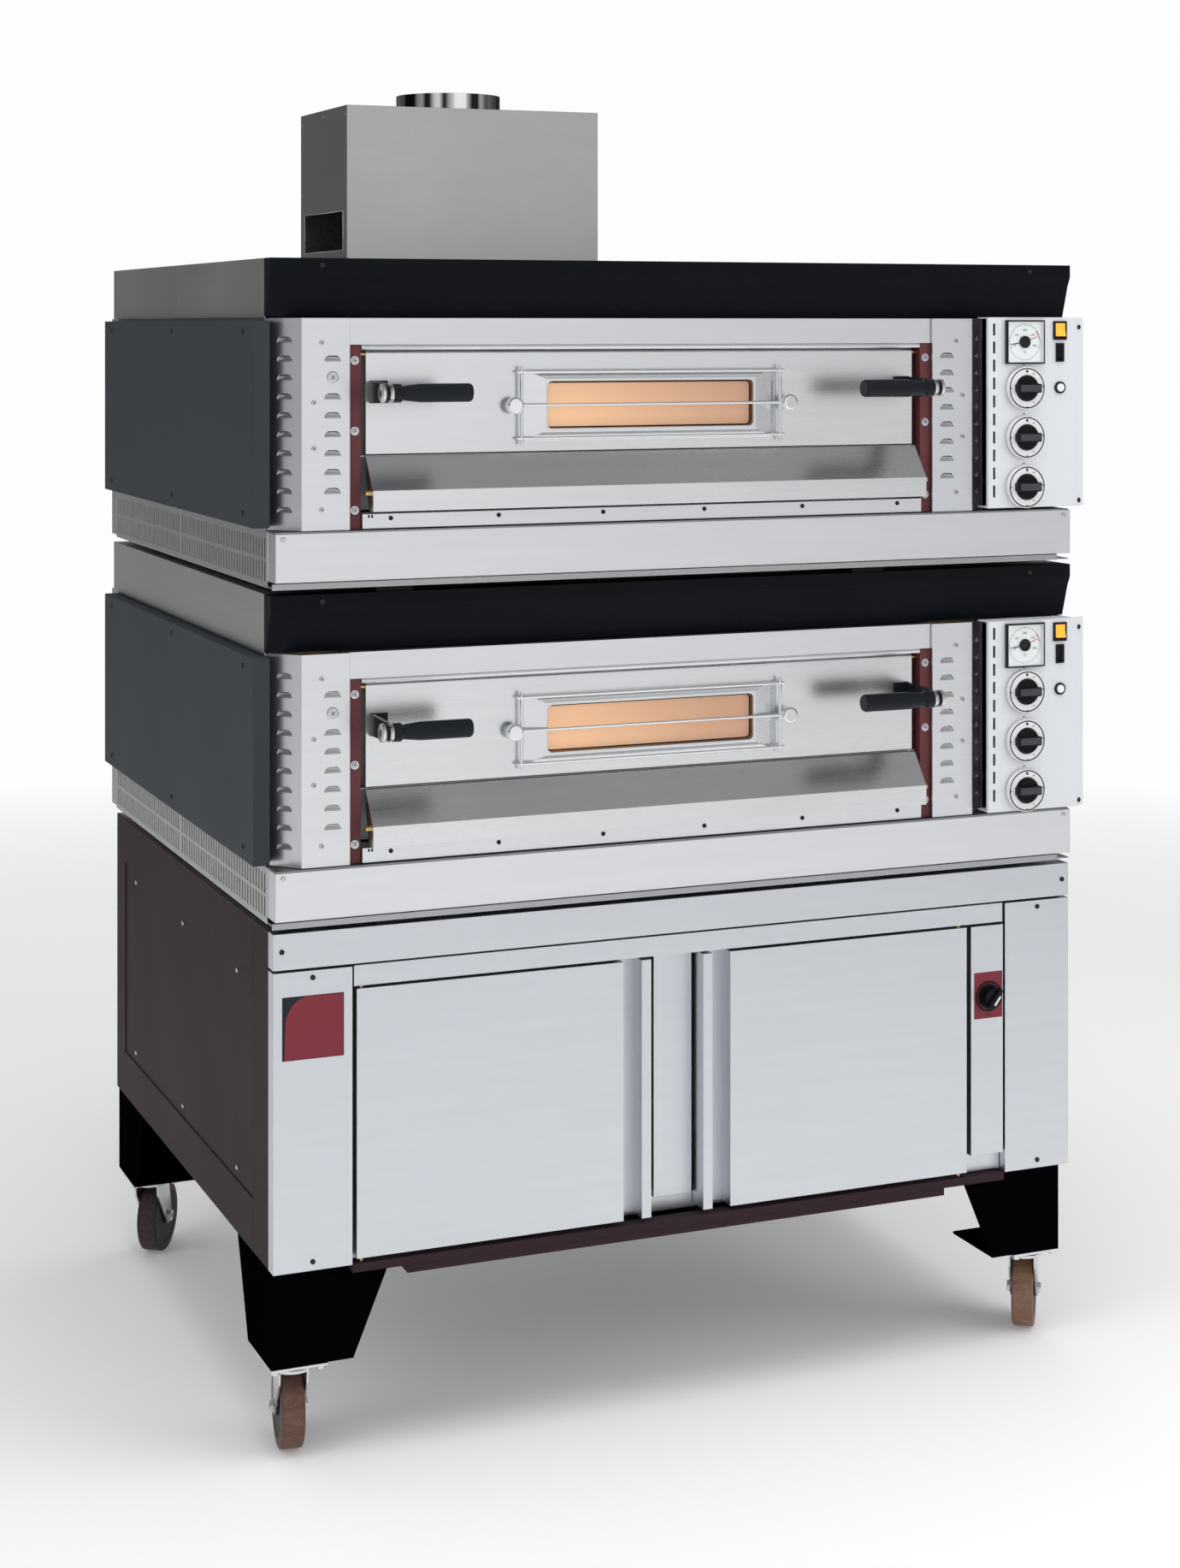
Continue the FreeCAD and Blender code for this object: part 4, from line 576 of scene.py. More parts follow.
def roundedBox(mesh, low, high, bevel, segments=2):
    # low and high in mm
    made = bmesh.ops.create_cube(mesh, size=1.0)
    a, b = at(*low), at(*high)
    for vert in made["verts"]:
        vert.co = Vector([a[i] + (vert.co[i] + 0.5) * (b[i] - a[i]) for i in range(3)])
    if bevel:
        edges = list({edgeWearAndHighlight for vert in made["verts"] for edgeWearAndHighlight in vert.link_edges})
        bmesh.ops.bevel(mesh, geom=edges, offset=bevel / 1000, segments=segments, affect="EDGES", profile=0.5)


def joinLoops(mesh, pairs):
    # a band of faces between each pair of closed loops
    for first, second in pairs:
        for index in range(len(first)):
            following = (index + 1) % len(first)
            mesh.faces.new((first[index], first[following], second[following], second[index]))


def lathe(mesh, centre, axis, profile, steps=48):
    # profile: (distance along the axis, radius) in mm, from one end to the other
    middle, along = at(*centre), Vector(axis).normalized()
    side = along.orthogonal().normalized()
    other = along.cross(side)
    rings = []
    for distance, radius in profile:
        ring = []
        for step in range(steps):
            angle = 2 * math.pi * step / steps
            out = side * math.cos(angle) + other * math.sin(angle)
            ring.append(mesh.verts.new(middle + along * distance / 1000 + out * radius / 1000))
        rings.append(ring)
    joinLoops(mesh, zip(rings, rings[1:]))
    if profile[0][1] > 0.01:
        mesh.faces.new(rings[0][::-1])
    if profile[-1][1] > 0.01:
        mesh.faces.new(rings[-1])


def tube(mesh, points, radius, sides=12, closed=False):
    # a round bar through points given in mm
    line = [at(*point) for point in points]
    count = len(line)
    rings = []
    lastSide = None
    for index, point in enumerate(line):
        before = line[index - 1] if closed or index else point
        after = line[(index + 1) % count] if closed or index < count - 1 else point
        inward, outward = (point - before), (after - point)
        inward = inward.normalized() if inward.length else outward.normalized()
        outward = outward.normalized() if outward.length else inward
        tangent = (inward + outward).normalized()
        side = tangent.orthogonal() if lastSide is None else lastSide - tangent * lastSide.dot(tangent)
        side.normalize()
        lastSide = side
        other = tangent.cross(side)
        stretch = 1 / max(0.5, tangent.dot(inward))
        bend = (outward - inward)
        bend = bend.normalized() if bend.length > 1e-5 else None
        ring = []
        for step in range(sides):
            angle = 2 * math.pi * step / sides
            out = (side * math.cos(angle) + other * math.sin(angle)) * radius / 1000
            if bend is not None:
                out += bend * out.dot(bend) * (stretch - 1)
            ring.append(mesh.verts.new(point + out))
        rings.append(ring)
    joinLoops(mesh, zip(rings, rings[1:]))
    if closed:
        joinLoops(mesh, [(rings[-1], rings[0])])
    else:
        mesh.faces.new(rings[0][::-1])
        mesh.faces.new(rings[-1])


def flatShape(mesh, outline, back, front):
    # a thin plate on the front: outline in (x, z), between two y places
    rear = [mesh.verts.new(at(x, back, z)) for x, z in outline]
    face = [mesh.verts.new(at(x, front, z)) for x, z in outline]
    mesh.faces.new(face)
    mesh.faces.new(rear[::-1])
    joinLoops(mesh, [(rear, face)])


def around(x, z, radius, angle):
    return x + radius * math.cos(angle), z + radius * math.sin(angle)


def circle(x, z, radius, steps=24, start=0.0):
    return [around(x, z, radius, start + 2 * math.pi * i / steps) for i in range(steps)]


def oblong(x0, x1, z0, z1):
    return [(x0, z0), (x1, z0), (x1, z1), (x0, z1)]


def roundedLoop(x0, x1, z0, z1, corner, y, steps=5):
    # points of an upright oblong with rounded corners, facing the front
    points = []
    for cx, cz, start in ((x1 - corner, z1 - corner, 0), (x0 + corner, z1 - corner, 90),
                          (x0 + corner, z0 + corner, 180), (x1 - corner, z0 + corner, 270)):
        for step in range(steps + 1):
            x, z = around(cx, cz, corner, math.radians(start + step * 90 / steps))
            points.append((x, y, z))
    return points


def flatRing(mesh, x, z, outer, inner, back, front, steps=64):
    loops = []
    for radius, y in ((outer, back), (outer, front), (inner, front), (inner, back)):
        loops.append([mesh.verts.new(at(px, y, pz)) for px, pz in circle(x, z, radius, steps)])
    joinLoops(mesh, zip(loops, loops[1:] + loops[:1]))


def bar2d(mesh, start, end, width, back, front):
    sx, sz = start
    ex, ez = end
    length = math.hypot(ex - sx, ez - sz)
    nx, nz = -(ez - sz) / length * width / 2, (ex - sx) / length * width / 2
    outline = [(sx + nx, sz + nz), (sx - nx, sz - nz), (ex - nx, ez - nz), (ex + nx, ez + nz)]
    flatShape(mesh, outline, back, front)


def spoke(mesh, x, z, inner, outer, angle, width, back, front):
    # a mark that points at the middle of a dial
    bar2d(mesh, around(x, z, inner, angle), around(x, z, outer, angle), width, back, front)


def lettering(mesh, text, centre, size, front):
    # generic dial figures, laid on the front plane
    curve = bpy.data.curves.new("figure", "FONT")
    curve.body = text
    curve.size = size / 1000
    curve.align_x, curve.align_y = "CENTER", "CENTER"
    item = bpy.data.objects.new("figure", curve)
    bpy.context.scene.collection.objects.link(item)
    bpy.context.view_layer.update()
    data = bpy.data.meshes.new_from_object(item.evaluated_get(bpy.context.evaluated_depsgraph_get()))
    place = at(centre[0], front, centre[1])
    data.transform(Matrix.Translation(place) @ Matrix.Rotation(math.radians(90), 4, "X"))
    mesh.from_mesh(data)
    bpy.data.objects.remove(item)
    bpy.data.curves.remove(curve)
    bpy.data.meshes.remove(data)


louvre = {"size": (0.025, 0.0085, 0.0036), "first": 116.0, "pitch": 28.1, "chamferCount": 10, "faceCount": 8,
          "plug": 7, "faceX": 91.0, "chamfer": (3.0, 44.0, 43.5, 0.0), "sheet": 0.0008}


def scoop(mesh, middle, along, inward, size):
    # a pressed pocket: joined to the sheet at its lower edge and ends, open at the top
    width, height, deep = size
    across, rising = 14, 5
    grid = []
    for i in range(across + 1):
        u = -1 + 2 * i / across
        reach = math.sqrt(max(0.0, 1 - abs(u) ** 2.6))
        column = []
        for j in range(rising + 1):
            v = j / rising
            drop = deep * reach * math.sin(v * math.pi / 2)
            up = -height / 2 + height * v * (0.35 + 0.65 * reach)
            spot = middle + along * (u * width / 2) + inward * (drop + 0.0012) + Vector((0, 0, up))
            column.append(mesh.verts.new(spot))
        grid.append(column)
    for i in range(across):
        for j in range(rising):
            mesh.faces.new((grid[i][j], grid[i + 1][j], grid[i + 1][j + 1], grid[i][j + 1]))


def thickenSheet(piece):
    thick = piece.modifiers.new("sheetEdge", "SOLIDIFY")
    thick.thickness = louvre["sheet"]


def makeLouvres(level):
    base = deckBase[level]
    for side in ("left", "right"):
        mesh = bmesh.new()
        flip = -1 if side == "right" else 1
        x0, y0, x1, y1 = louvre["chamfer"]

        def mirrorX(x):
            return x if side == "left" else 2 * ovenMid - x

        run = Vector((flip * (x1 - x0), y1 - y0, 0)).normalized()
        inward = Vector((-run.y, run.x, 0)) * flip
        for i in range(louvre["chamferCount"]):
            middle = at(mirrorX((x0 + x1) / 2), (y0 + y1) / 2, base + louvre["first"] + i * louvre["pitch"])
            scoop(mesh, middle, run, inward, louvre["size"])
        for i in range(1, louvre["faceCount"] + 1):
            if side == "left" and i == louvre["plug"]:
                continue                                   # a blanking plug sits here
            middle = at(mirrorX(louvre["faceX"]), 0, base + louvre["first"] + i * louvre["pitch"])
            scoop(mesh, middle, Vector((1, 0, 0)), Vector((0, 1, 0)), louvre["size"])
        piece = addPiece("louvreScoops_%s_%s" % (side, level), mesh, louvreSteel, "oven")
        thickenSheet(piece)


for level in deckNames:
    makeLouvres(level)
print("louvres ready")


knobPrint = {"ring": (33.4, 31.5), "sunk": 0.3, "proud": 0.3, "top": (28.0, 2.2),
             "dots": (30.6, 1.1, (180, 270, 5)), "marker": (27.0, 62, 1.8), "flame": (26.5, -62, 1.0),
             "tick": (38.6, 1.8, 1.5)}
knobGrip = {"inlay": (-17.5, 22.2, 5.6), "ribs": (10.5, 14.0, 17.3), "ribReach": 19.5, "ribHalf": 0.8,
            "ribFront": 5.2, "ribBack": 3.6}


def makeKnobDress(level, index, height):
    name = "_%s_%d" % (level, index + 1)
    body = "control_knob" + name
    z = deckBase[level] + height
    back, front = skirtFace + knobPrint["sunk"], skirtFace - knobPrint["proud"]
    mesh = bmesh.new()
    flatRing(mesh, knobX, z, *knobPrint["ring"], back, front)
    above, size = knobPrint["top"]
    flatShape(mesh, circle(knobX, z + above, size), back, front)
    reach, size, turns = knobPrint["dots"]
    for degrees in turns:
        flatShape(mesh, circle(*around(knobX, z, reach, math.radians(degrees)), size, 12), back, front)
    reach, degrees, size = knobPrint["marker"]
    marker = around(knobX, z, reach, math.radians(degrees))
    flatShape(mesh, circle(*marker, size, 3, math.radians(90)), back, front)
    reach, degrees, size = knobPrint["flame"]
    flatShape(mesh, circle(*around(knobX, z, reach, math.radians(degrees)), size, 8), back, front)
    addPiece("skirtMarks" + name, mesh, blackPrintAndShade, body, smooth=False)
    mesh = bmesh.new()
    left, right, half = knobGrip["inlay"]
    roundedBox(mesh, (knobX + left, knobTop - 0.35, z - half), (knobX + right, knobTop + 1.0, z + half), 0.5)
    addPiece("gripInlay" + name, mesh, greyInlay, body)
    mesh = bmesh.new()
    for side in (-1, 1):                                   # finger ribs above and below the bar
        for offset in knobGrip["ribs"]:
            half = math.sqrt(knobGrip["ribReach"] ** 2 - offset ** 2) - 2.0
            middle = z + side * offset
            roundedBox(mesh, (knobX - half, skirtFace - knobGrip["ribFront"], middle - knobGrip["ribHalf"]),
                       (knobX + half, skirtFace - knobGrip["ribBack"], middle + knobGrip["ribHalf"]), 0.35)
    addPiece("gripRibs" + name, mesh, blackPlastic, body)


gauge = {"plateHalf": 32.6, "recess": 2.0, "plate": (0.05, 0.4), "first": 198, "sweep": 216, "ticks": 20,
         "tick": (27.0, 29.0, 0.5), "longTick": 25.5, "ring": (29.6, 29.2), "figures": (19.5, 5.2),
         "unit": (17.0, 6.0), "setHand": (11.0, 25.0, 20, 1.3), "red": (27.0, 28.8, 38, 3.4, 9),
         "glassHalf": 32.8, "glass": (-31.9, -31.4)}


def makeThermometer(level):
    z = deckBase[level] + gaugeUp
    plate = panelFront - gauge["recess"]
    marks = plate - gauge["plate"][1]
    half = gauge["plateHalf"]
    mesh = bmesh.new()
    flatShape(mesh, oblong(knobX - half, knobX + half, z - half, z + half), plate - gauge["plate"][0], marks)
    addPiece("dialPlate_" + level, mesh, whitePrint, "oven", smooth=False)
    mesh = bmesh.new()
    inner, outer, width = gauge["tick"]
    for step in range(gauge["ticks"] + 1):
        angle = math.radians(gauge["first"] - step * gauge["sweep"] / gauge["ticks"])
        start = gauge["longTick"] if step % 5 == 0 else inner
        spoke(mesh, knobX, z, start, outer, angle, width, marks + 0.1, marks - 0.15)
    reach, size = gauge["figures"]
    for step, figure in enumerate(("0", "100", "200", "300", "400")):
        angle = math.radians(gauge["first"] - step * gauge["sweep"] / 4)
        lettering(mesh, figure, around(knobX, z, reach, angle), size, marks - 0.16)
    below, size = gauge["unit"]
    lettering(mesh, "°C", (knobX, z - below), size, marks - 0.16)
    flatRing(mesh, knobX, z, *gauge["ring"], marks + 0.1, marks - 0.15)
    addPiece("dialFigures_" + level, mesh, blackPrintAndShade, "oven", smooth=False)
    mesh = bmesh.new()
    inner, outer, degrees, width = gauge["setHand"]
    spoke(mesh, knobX, z, inner, outer, math.radians(degrees), width, marks + 0.1, marks - 0.3)
    inner, outer, first, apart, count = gauge["red"]
    for step in range(count):
        angle = math.radians(first - step * apart)
        spoke(mesh, knobX, z, inner, outer, angle, 1.0, marks + 0.1, marks - 0.2)
    addPiece("dialRedBand_" + level, mesh, redPrint, "oven", smooth=False)


def makePanelTrim(level):
    z = deckBase[level]
    above, half, width = knobPrint["tick"]
    mesh = bmesh.new()                                     # pointer ticks above the knobs
    for height in knobsUp:
        tickZ = z + height + above
        bar2d(mesh, (knobX - half, tickZ), (knobX + half, tickZ), width, panelFront + 0.3, panelFront - 0.2)
    addPiece("knobTicks_" + level, mesh, blackPrintAndShade, "oven", smooth=False)
    mesh = bmesh.new()
    flatShape(mesh, circle(switchX, z + buttonUp, 6.2, 40), panelFront - 4.4, panelFront - 4.9)
    addPiece("buttonCap_" + level, mesh, whiteButton, "igniter_button_" + level, smooth=False)


for level in deckNames:
    for index, height in enumerate(knobsUp):
        makeKnobDress(level, index, height)
    makeThermometer(level)
    makePanelTrim(level)
print("controls ready")


grip = {"height": 290.0, "endHalf": 472.0, "axisY": -71.0, "ringIn": 18.0, "capIn": 5.5,
        "ring": [(0, 12.2), (0.4, 13.6), (3.4, 13.8), (4.0, 12.6), (4.8, 12.6), (5.2, 13.9), (6.0, 13.9),
                 (6.4, 12.2)],
        "cap": [(0, 12.3), (0.3, 13.9), (5.0, 13.9), (5.6, 12.9), (5.7, 6.0), (4.2, 5.6), (4.2, 0.0)]}
windowSeal = {"radius": 1.2, "corner": 8.0, "y": 19.8}


def makeGripDress(level):
    z = deckBase[level] + grip["height"]
    for side in (-1, 1):
        name = ("left" if side < 0 else "right") + "_" + level
        end = ovenMid + side * grip["endHalf"]
        mesh = bmesh.new()
        lathe(mesh, (end - side * grip["ringIn"], grip["axisY"], z), (side, 0, 0), grip["ring"])
        lathe(mesh, (end - side * grip["capIn"], grip["axisY"], z), (side, 0, 0), grip["cap"])
        addPiece("gripWashers_" + name, mesh, zincSteel, "oven_door_" + level)


def makeWindowSeal(level):
    low, high = boxFromHome("door_glass_" + level)
    radius = windowSeal["radius"]
    mesh = bmesh.new()
    line = roundedLoop(low.x + radius, high.x - radius, low.z + radius, high.z - radius,
                       windowSeal["corner"] - radius, windowSeal["y"], 4)
    tube(mesh, line, radius, 8, closed=True)
    addPiece("windowSeal_" + level, mesh, rubber, "oven_door_" + level)


for level in deckNames:
    makeGripDress(level)
    makeWindowSeal(level)


labelPlate = {"x": (13.5, 108.5), "z": (611.0, 705.0), "thick": 0.6, "field": 0.2, "border": 0.5}
proverPlate = {"x": (1189.5, 1242.6), "z": (555.0, 631.0), "thick": 0.5, "knob": (1216.8, 591.0),
               "ring": (25.4, 22.0), "dot": (30.5, 1.6), "first": 215, "apart": 15.6, "ticks": 17,
               "tick": (24.0, 23.0, 25.0, 0.35), "pointer": ((1.6, -12.0), (12.0, 2.4), 4.2, -16.6, -17.8),
               "ribs": (30, 15.0, 0.75, -5.2, -16.4)}


def makeLabelPlate():
    # dark plate with a red field that sweeps up from its lower left corner
    (x0, x1), (z0, z1) = labelPlate["x"], labelPlate["z"]
    face, border = -labelPlate["thick"], labelPlate["border"]
    mesh = bmesh.new()
    flatShape(mesh, oblong(x0, x1, z0, z1), 0.0, face)
    addPiece("pilasterPlate", mesh, darkLabel, "oven", smooth=False)
    mesh = bmesh.new()
    outline = [(x1 - border, z0 + border), (x1 - border, z1 - border), (x0 + 0.40 * (x1 - x0), z1 - border)]
    for step in range(1, 9):                               # quarter of an oval
        angle = math.radians(90 + step * 10)
        outline.append((x0 + 40 + 36 * math.cos(angle), z1 - 46 + 45.5 * math.sin(angle)))
    outline.append((x0 + 3, z0 + border))
    flatShape(mesh, outline, face, face - labelPlate["field"])
    addPiece("pilasterPlateField", mesh, redLabel, "oven", smooth=False)


def makeProverPlate():
    (x0, x1), (z0, z1) = proverPlate["x"], proverPlate["z"]
    kx, kz = proverPlate["knob"]
    face = -proverPlate["thick"]
    mesh = bmesh.new()
    flatShape(mesh, oblong(x0, x1, z0, z1), 0.0, face)
    addPiece("thermostatPlate", mesh, redLabel, "oven", smooth=False)
    mesh = bmesh.new()
    flatRing(mesh, kx, kz, *proverPlate["ring"], face + 0.1, face - 0.3)
    below, size = proverPlate["dot"]
    flatShape(mesh, circle(kx, kz - below, size, 16), face + 0.1, face - 0.3)
    addPiece("thermostatRing", mesh, blackPrintAndShade, "oven", smooth=False)
    mesh = bmesh.new()
    short, long, outer, width = proverPlate["tick"]
    for step in range(proverPlate["ticks"]):               # fine marks on the ring
        angle = math.radians(proverPlate["first"] - step * proverPlate["apart"])
        spoke(mesh, kx, kz, short if step % 4 else long, outer, angle, width, face - 0.2, face - 0.45)
    addPiece("thermostatMarks", mesh, greyInlay, "oven", smooth=False)
    mesh = bmesh.new()
    (dx, dz), (ex, ez), width, back, front = proverPlate["pointer"]
    bar2d(mesh, (kx + dx, kz + dz), (kx + ex, kz + ez), width, back, front)
    addPiece("thermostatPointer", mesh, whitePrint, "prover_knob", smooth=False)
    mesh = bmesh.new()
    count, reach, size, back, front = proverPlate["ribs"]
    for step in range(count):                              # grip ribs round the knob
        flatShape(mesh, circle(*around(kx, kz, reach, 2 * math.pi * step / count), size, 8), back, front)
    addPiece("thermostatRibs", mesh, blackPlastic, "prover_knob")


makeLabelPlate()
makeProverPlate()
print("plates ready")


fixings = {"strip": (113.6, 232.0, 337.5), "stripX": 127.7, "stripY": 5.5, "washer": (6.4, 4.6, 8.0, 7.2),
           "pilaster": ((74.0, 116.0), (62.0, 207.0), (62.0, 275.0), (74.0, 364.0)), "pilasterY": -2.0,
           "stripCross": 4.4, "pilasterCross": 3.6, "plugCross": 8.0, "crossWide": 0.9,
           "slots": (148.0, 153.0), "slotHalf": 1.5, "slotZ": (102.0, 106.6), "slotY": (1.6, 2.3)}


# a flat black cross: painted shade in a screw's recess
def crossRecess(mesh, x, z, face, long, turn=0.0):
    for degrees in (turn, turn + 90):
        angle = math.radians(degrees)
        dx, dz = math.cos(angle) * long / 2, math.sin(angle) * long / 2
        bar2d(mesh, (x - dx, z - dz), (x + dx, z + dz), fixings["crossWide"], face + 0.2, face - 0.12)


def makeFixings(level):
    base = deckBase[level]
    mesh = bmesh.new()
    rims = bmesh.new()
    for index, z in enumerate(fixings["strip"]):
        for x in (fixings["stripX"], 2 * ovenMid - fixings["stripX"]):
            crossRecess(mesh, x, base + z, fixings["stripY"], fixings["stripCross"], 23 + 31 * index)
            outer, inner, back, front = fixings["washer"]
            flatRing(rims, x, base + z, outer, inner, back, front, 32)
    for index, (x, z) in enumerate(fixings["pilaster"]):
        turn = 12 + 40 * index
        for place in (x, 2 * ovenMid - x):
            crossRecess(mesh, place, base + z, fixings["pilasterY"], fixings["pilasterCross"], turn)
    plugZ = base + louvre["first"] + louvre["plug"] * louvre["pitch"]
    crossRecess(mesh, louvre["faceX"], plugZ, -3.0, fixings["plugCross"], 45)
    addPiece("screwRecessShade_" + level, mesh, blackPrintAndShade, "oven", smooth=False)
    addPiece("screwWashers_" + level, rims, chrome, "oven")
    mesh = bmesh.new()                                     # two drain slots at the left end of the rail, drawn as black blocks of painted shade
    half, (z0, z1), (y0, y1) = fixings["slotHalf"], fixings["slotZ"], fixings["slotY"]
    for x in fixings["slots"]:
        roundedBox(mesh, (x - half, y0, base + z0), (x + half, y1, base + z1), 0.3)
    addPiece("railSlotShade_" + level, mesh, blackPrintAndShade, "oven", smooth=False)


def makeGaugeGlass(level):
    z = deckBase[level] + gaugeUp
    half, (front, back) = gauge["glassHalf"], gauge["glass"]
    mesh = bmesh.new()
    roundedBox(mesh, (knobX - half, front, z - half), (knobX + half, back, z + half), 0.2)
    addPiece("gaugeGlass_" + level, mesh, clearCover, "oven")


ovenSeal = {"side": 16.0, "below": 18.0, "above": 26.0, "corner": 10.0, "y": 54.1, "radius": 1.5}
proverSeal = {"hinge": 14.0, "grip": 62.0, "end": 14.0, "corner": 12.0, "y": 40.0, "radius": 2.2}
chamberLamp = {"place": (1076.0, 320.0), "up": 300.0,
               "bezel": [(0, 34.0), (1.5, 34.0), (3.0, 32.5), (3.6, 29.0), (3.0, 27.5), (2.0, 27.0)],
               "lens": [(1.0, 27.4), (4.0, 27.0), (8.0, 24.0), (11.0, 18.0), (12.8, 9.0), (13.2, 0.01)]}


def makeOvenGasket(level):
    # a round seal on the back of the door
    low, high = boxFromHome("oven_door_" + level)
    line = roundedLoop(low.x + ovenSeal["side"], high.x - ovenSeal["side"], low.z + ovenSeal["below"],
                       high.z - ovenSeal["above"], ovenSeal["corner"], ovenSeal["y"])
    mesh = bmesh.new()
    tube(mesh, line, ovenSeal["radius"], 8, closed=True)
    addPiece("ovenDoorSeal_" + level, mesh, gasketTape, "oven_door_" + level)


def makeChamberLamp(level):
    # on the chamber's right wall
    centre = (*chamberLamp["place"], deckBase[level] + chamberLamp["up"])
    mesh = bmesh.new()
    lathe(mesh, centre, (-1, 0, 0), chamberLamp["bezel"])
    addPiece("lampBezel_" + level, mesh, zincSteel, "oven")
    mesh = bmesh.new()
    lathe(mesh, centre, (-1, 0, 0), chamberLamp["lens"])
    addPiece("lampLens_" + level, mesh, lampPlastic, "oven")


def makeProverGaskets():
    hinge, grip, end = proverSeal["hinge"], proverSeal["grip"], proverSeal["end"]
    for side, near, far in (("left", hinge, grip), ("right", grip, hinge)):
        low, high = boxFromHome("prover_door_" + side)
        line = roundedLoop(low.x + near, high.x - far, low.z + end, high.z - end, proverSeal["corner"],
                           proverSeal["y"])
        mesh = bmesh.new()
        tube(mesh, line, proverSeal["radius"], 8, closed=True)
        addPiece("proverSeal_" + side, mesh, rubber, "prover_door_" + side)


for level in deckNames:
    makeFixings(level)
    makeGaugeGlass(level)
    makeOvenGasket(level)
    makeChamberLamp(level)
makeProverGaskets()
print("seals and fixings ready")


hood = {"portY": (830.5, 1072.5), "portZ": (1834.0, 1904.0), "rim": 1.8, "proud": 0.5, "sunk": 0.4,
        "rivet": 2.6, "frontRivets": ((375.0, 1806.0), (842.0, 1806.0)),
        "sideRivets": ((812, 1812), (812, 1945), (812, 2080), (950, 2084), (1090, 1812), (1090, 1945),
                       (1090, 2080)),
        "bead": (2096.4, [(0, 98.2), (0.4, 99.4), (1.3, 99.6), (1.8, 98.1)])}


def dome(mesh, centre, axis, radius, rise):
    lathe(mesh, centre, axis, [(-0.2, radius), (0.25 * rise, 0.98 * radius), (0.6 * rise, 0.80 * radius),
                               (0.88 * rise, 0.48 * radius), (rise, 0.01)], 16)


def makeHoodDress():
    low, high = boxFromHome("flue_hood")
    (y0, y1), (z0, z1), rim = hood["portY"], hood["portZ"], hood["rim"]
    rivets = bmesh.new()
    for name, x, way in (("left", low.x, -1), ("right", high.x, 1)):
        mesh = bmesh.new()
        inner, outer = sorted((x + way * hood["proud"], x - way * hood["sunk"]))
        for ya, yb, za, zb in ((y0 - rim, y1 + rim, z0 - rim, z0), (y0 - rim, y1 + rim, z1, z1 + rim),
                               (y0 - rim, y0, z0, z1), (y1, y1 + rim, z0, z1)):
            roundedBox(mesh, (inner, ya, za), (outer, yb, zb), 0.15)
        addPiece("portRim_" + name, mesh, chrome, "oven")
        for y, z in hood["sideRivets"]:
            dome(rivets, (x, y, z), (way, 0, 0), hood["rivet"], 1.2)
    for x, z in hood["frontRivets"]:
        dome(rivets, (x, low.y, z), (0, -1, 0), hood["rivet"], 1.0)
    addPiece("hoodRivets", rivets, hoodSteel, "oven")
    mesh = bmesh.new()                                     # rolled bead round the foot of the collar
    foot, profile = hood["bead"]
    middle = (low + high) / 2
    lathe(mesh, (middle.x, middle.y, foot), (0, 0, 1), profile, 96)
    addPiece("collarBead", mesh, chrome, "oven")


makeHoodDress()


rear = {"face": 1100.0, "columns": 9, "rows": (95.0, 120.0, 145.0, 300.0, 325.0), "x": (170.0, 1090.0),
        "scoop": (0.078, -0.010, 0.0055), "stand": 1.4, "gapHalf": 33.0, "gapZ": (5.4, 1.0),
        "screwX": (10.0, 350.0, 685.0, 1020.0, 1360.0), "screwZ": (14.0, 391.0), "head": (4.2, 2.2),
        "stubUp": 100.0, "threadStart": 9.0, "threadPitch": 1.7, "threadTurns": 11,
        "core": 10.45, "crest": 11.1,
        "nut": [(0.2, 17.5), (6.2, 17.5), (7.0, 16.6), (7.0, 10.6)],
        "cabinetFace": 1056.0, "cabinetX": (30.0, 360.0, 685.0, 1010.0, 1340.0), "cabinetZ": (310.0, 786.0)}


def screwHeads(mesh, columns, rows, face):
    for x in columns:
        for z in rows:
            dome(mesh, (x, face, z), (0, 1, 0), *rear["head"])


def makeRearDress(level):
    base, face = deckBase[level], rear["face"]
    mesh = bmesh.new()
    shade = bmesh.new()
    heads = bmesh.new()
    first, last = rear["x"]
    below, above = rear["gapZ"]
    for row in rear["rows"]:
        for column in range(rear["columns"]):
            x = first + column * (last - first) / (rear["columns"] - 1)
            middle = at(x, face - rear["stand"], base + row)
            scoop(mesh, middle, Vector((1, 0, 0)), Vector((0, 1, 0)), rear["scoop"])
            gap = oblong(x - rear["gapHalf"], x + rear["gapHalf"], base + row - below, base + row - above)
            # a black sheet in each louvre's opening: painted shade
            flatShape(shade, gap, face - 0.3, face + 0.25)
    screwHeads(heads, rear["screwX"], [base + z for z in rear["screwZ"]], face)
    thickenSheet(addPiece("rearLouvres_" + level, mesh, sideSteel, "oven"))
    addPiece("rearLouvreGapShade_" + level, shade, blackPrintAndShade, "oven", smooth=False)
    addPiece("rearScrews_" + level, heads, zincSteel, "oven")
    mesh = bmesh.new()                                     # thread on the gas stub
    start, core, crest = rear["threadStart"], rear["core"], rear["crest"]
    profile = [(start, 10.4)]
    for turn in range(rear["threadTurns"]):
        root = start + 1.0 + rear["threadPitch"] * turn
        profile += [(root, core), (root + 0.6, crest), (root + 1.1, crest)]
    profile += [(29.2, core)]
    stub = (knobX, face, base + rear["stubUp"])
    lathe(mesh, stub, (0, 1, 0), profile, 36)
    addPiece("stubThread_" + level, mesh, brass, "oven")
    mesh = bmesh.new()
    lathe(mesh, stub, (0, 1, 0), rear["nut"], 6)
    addPiece("stubNut_" + level, mesh, brass, "oven", smooth=False)


def makeCabinetBack():
    heads = bmesh.new()
    screwHeads(heads, rear["cabinetX"], rear["cabinetZ"], rear["cabinetFace"])
    addPiece("cabinetBackScrews", heads, zincSteel, "oven")


for level in deckNames:
    makeRearDress(level)
makeCabinetBack()
print("hood and back ready")


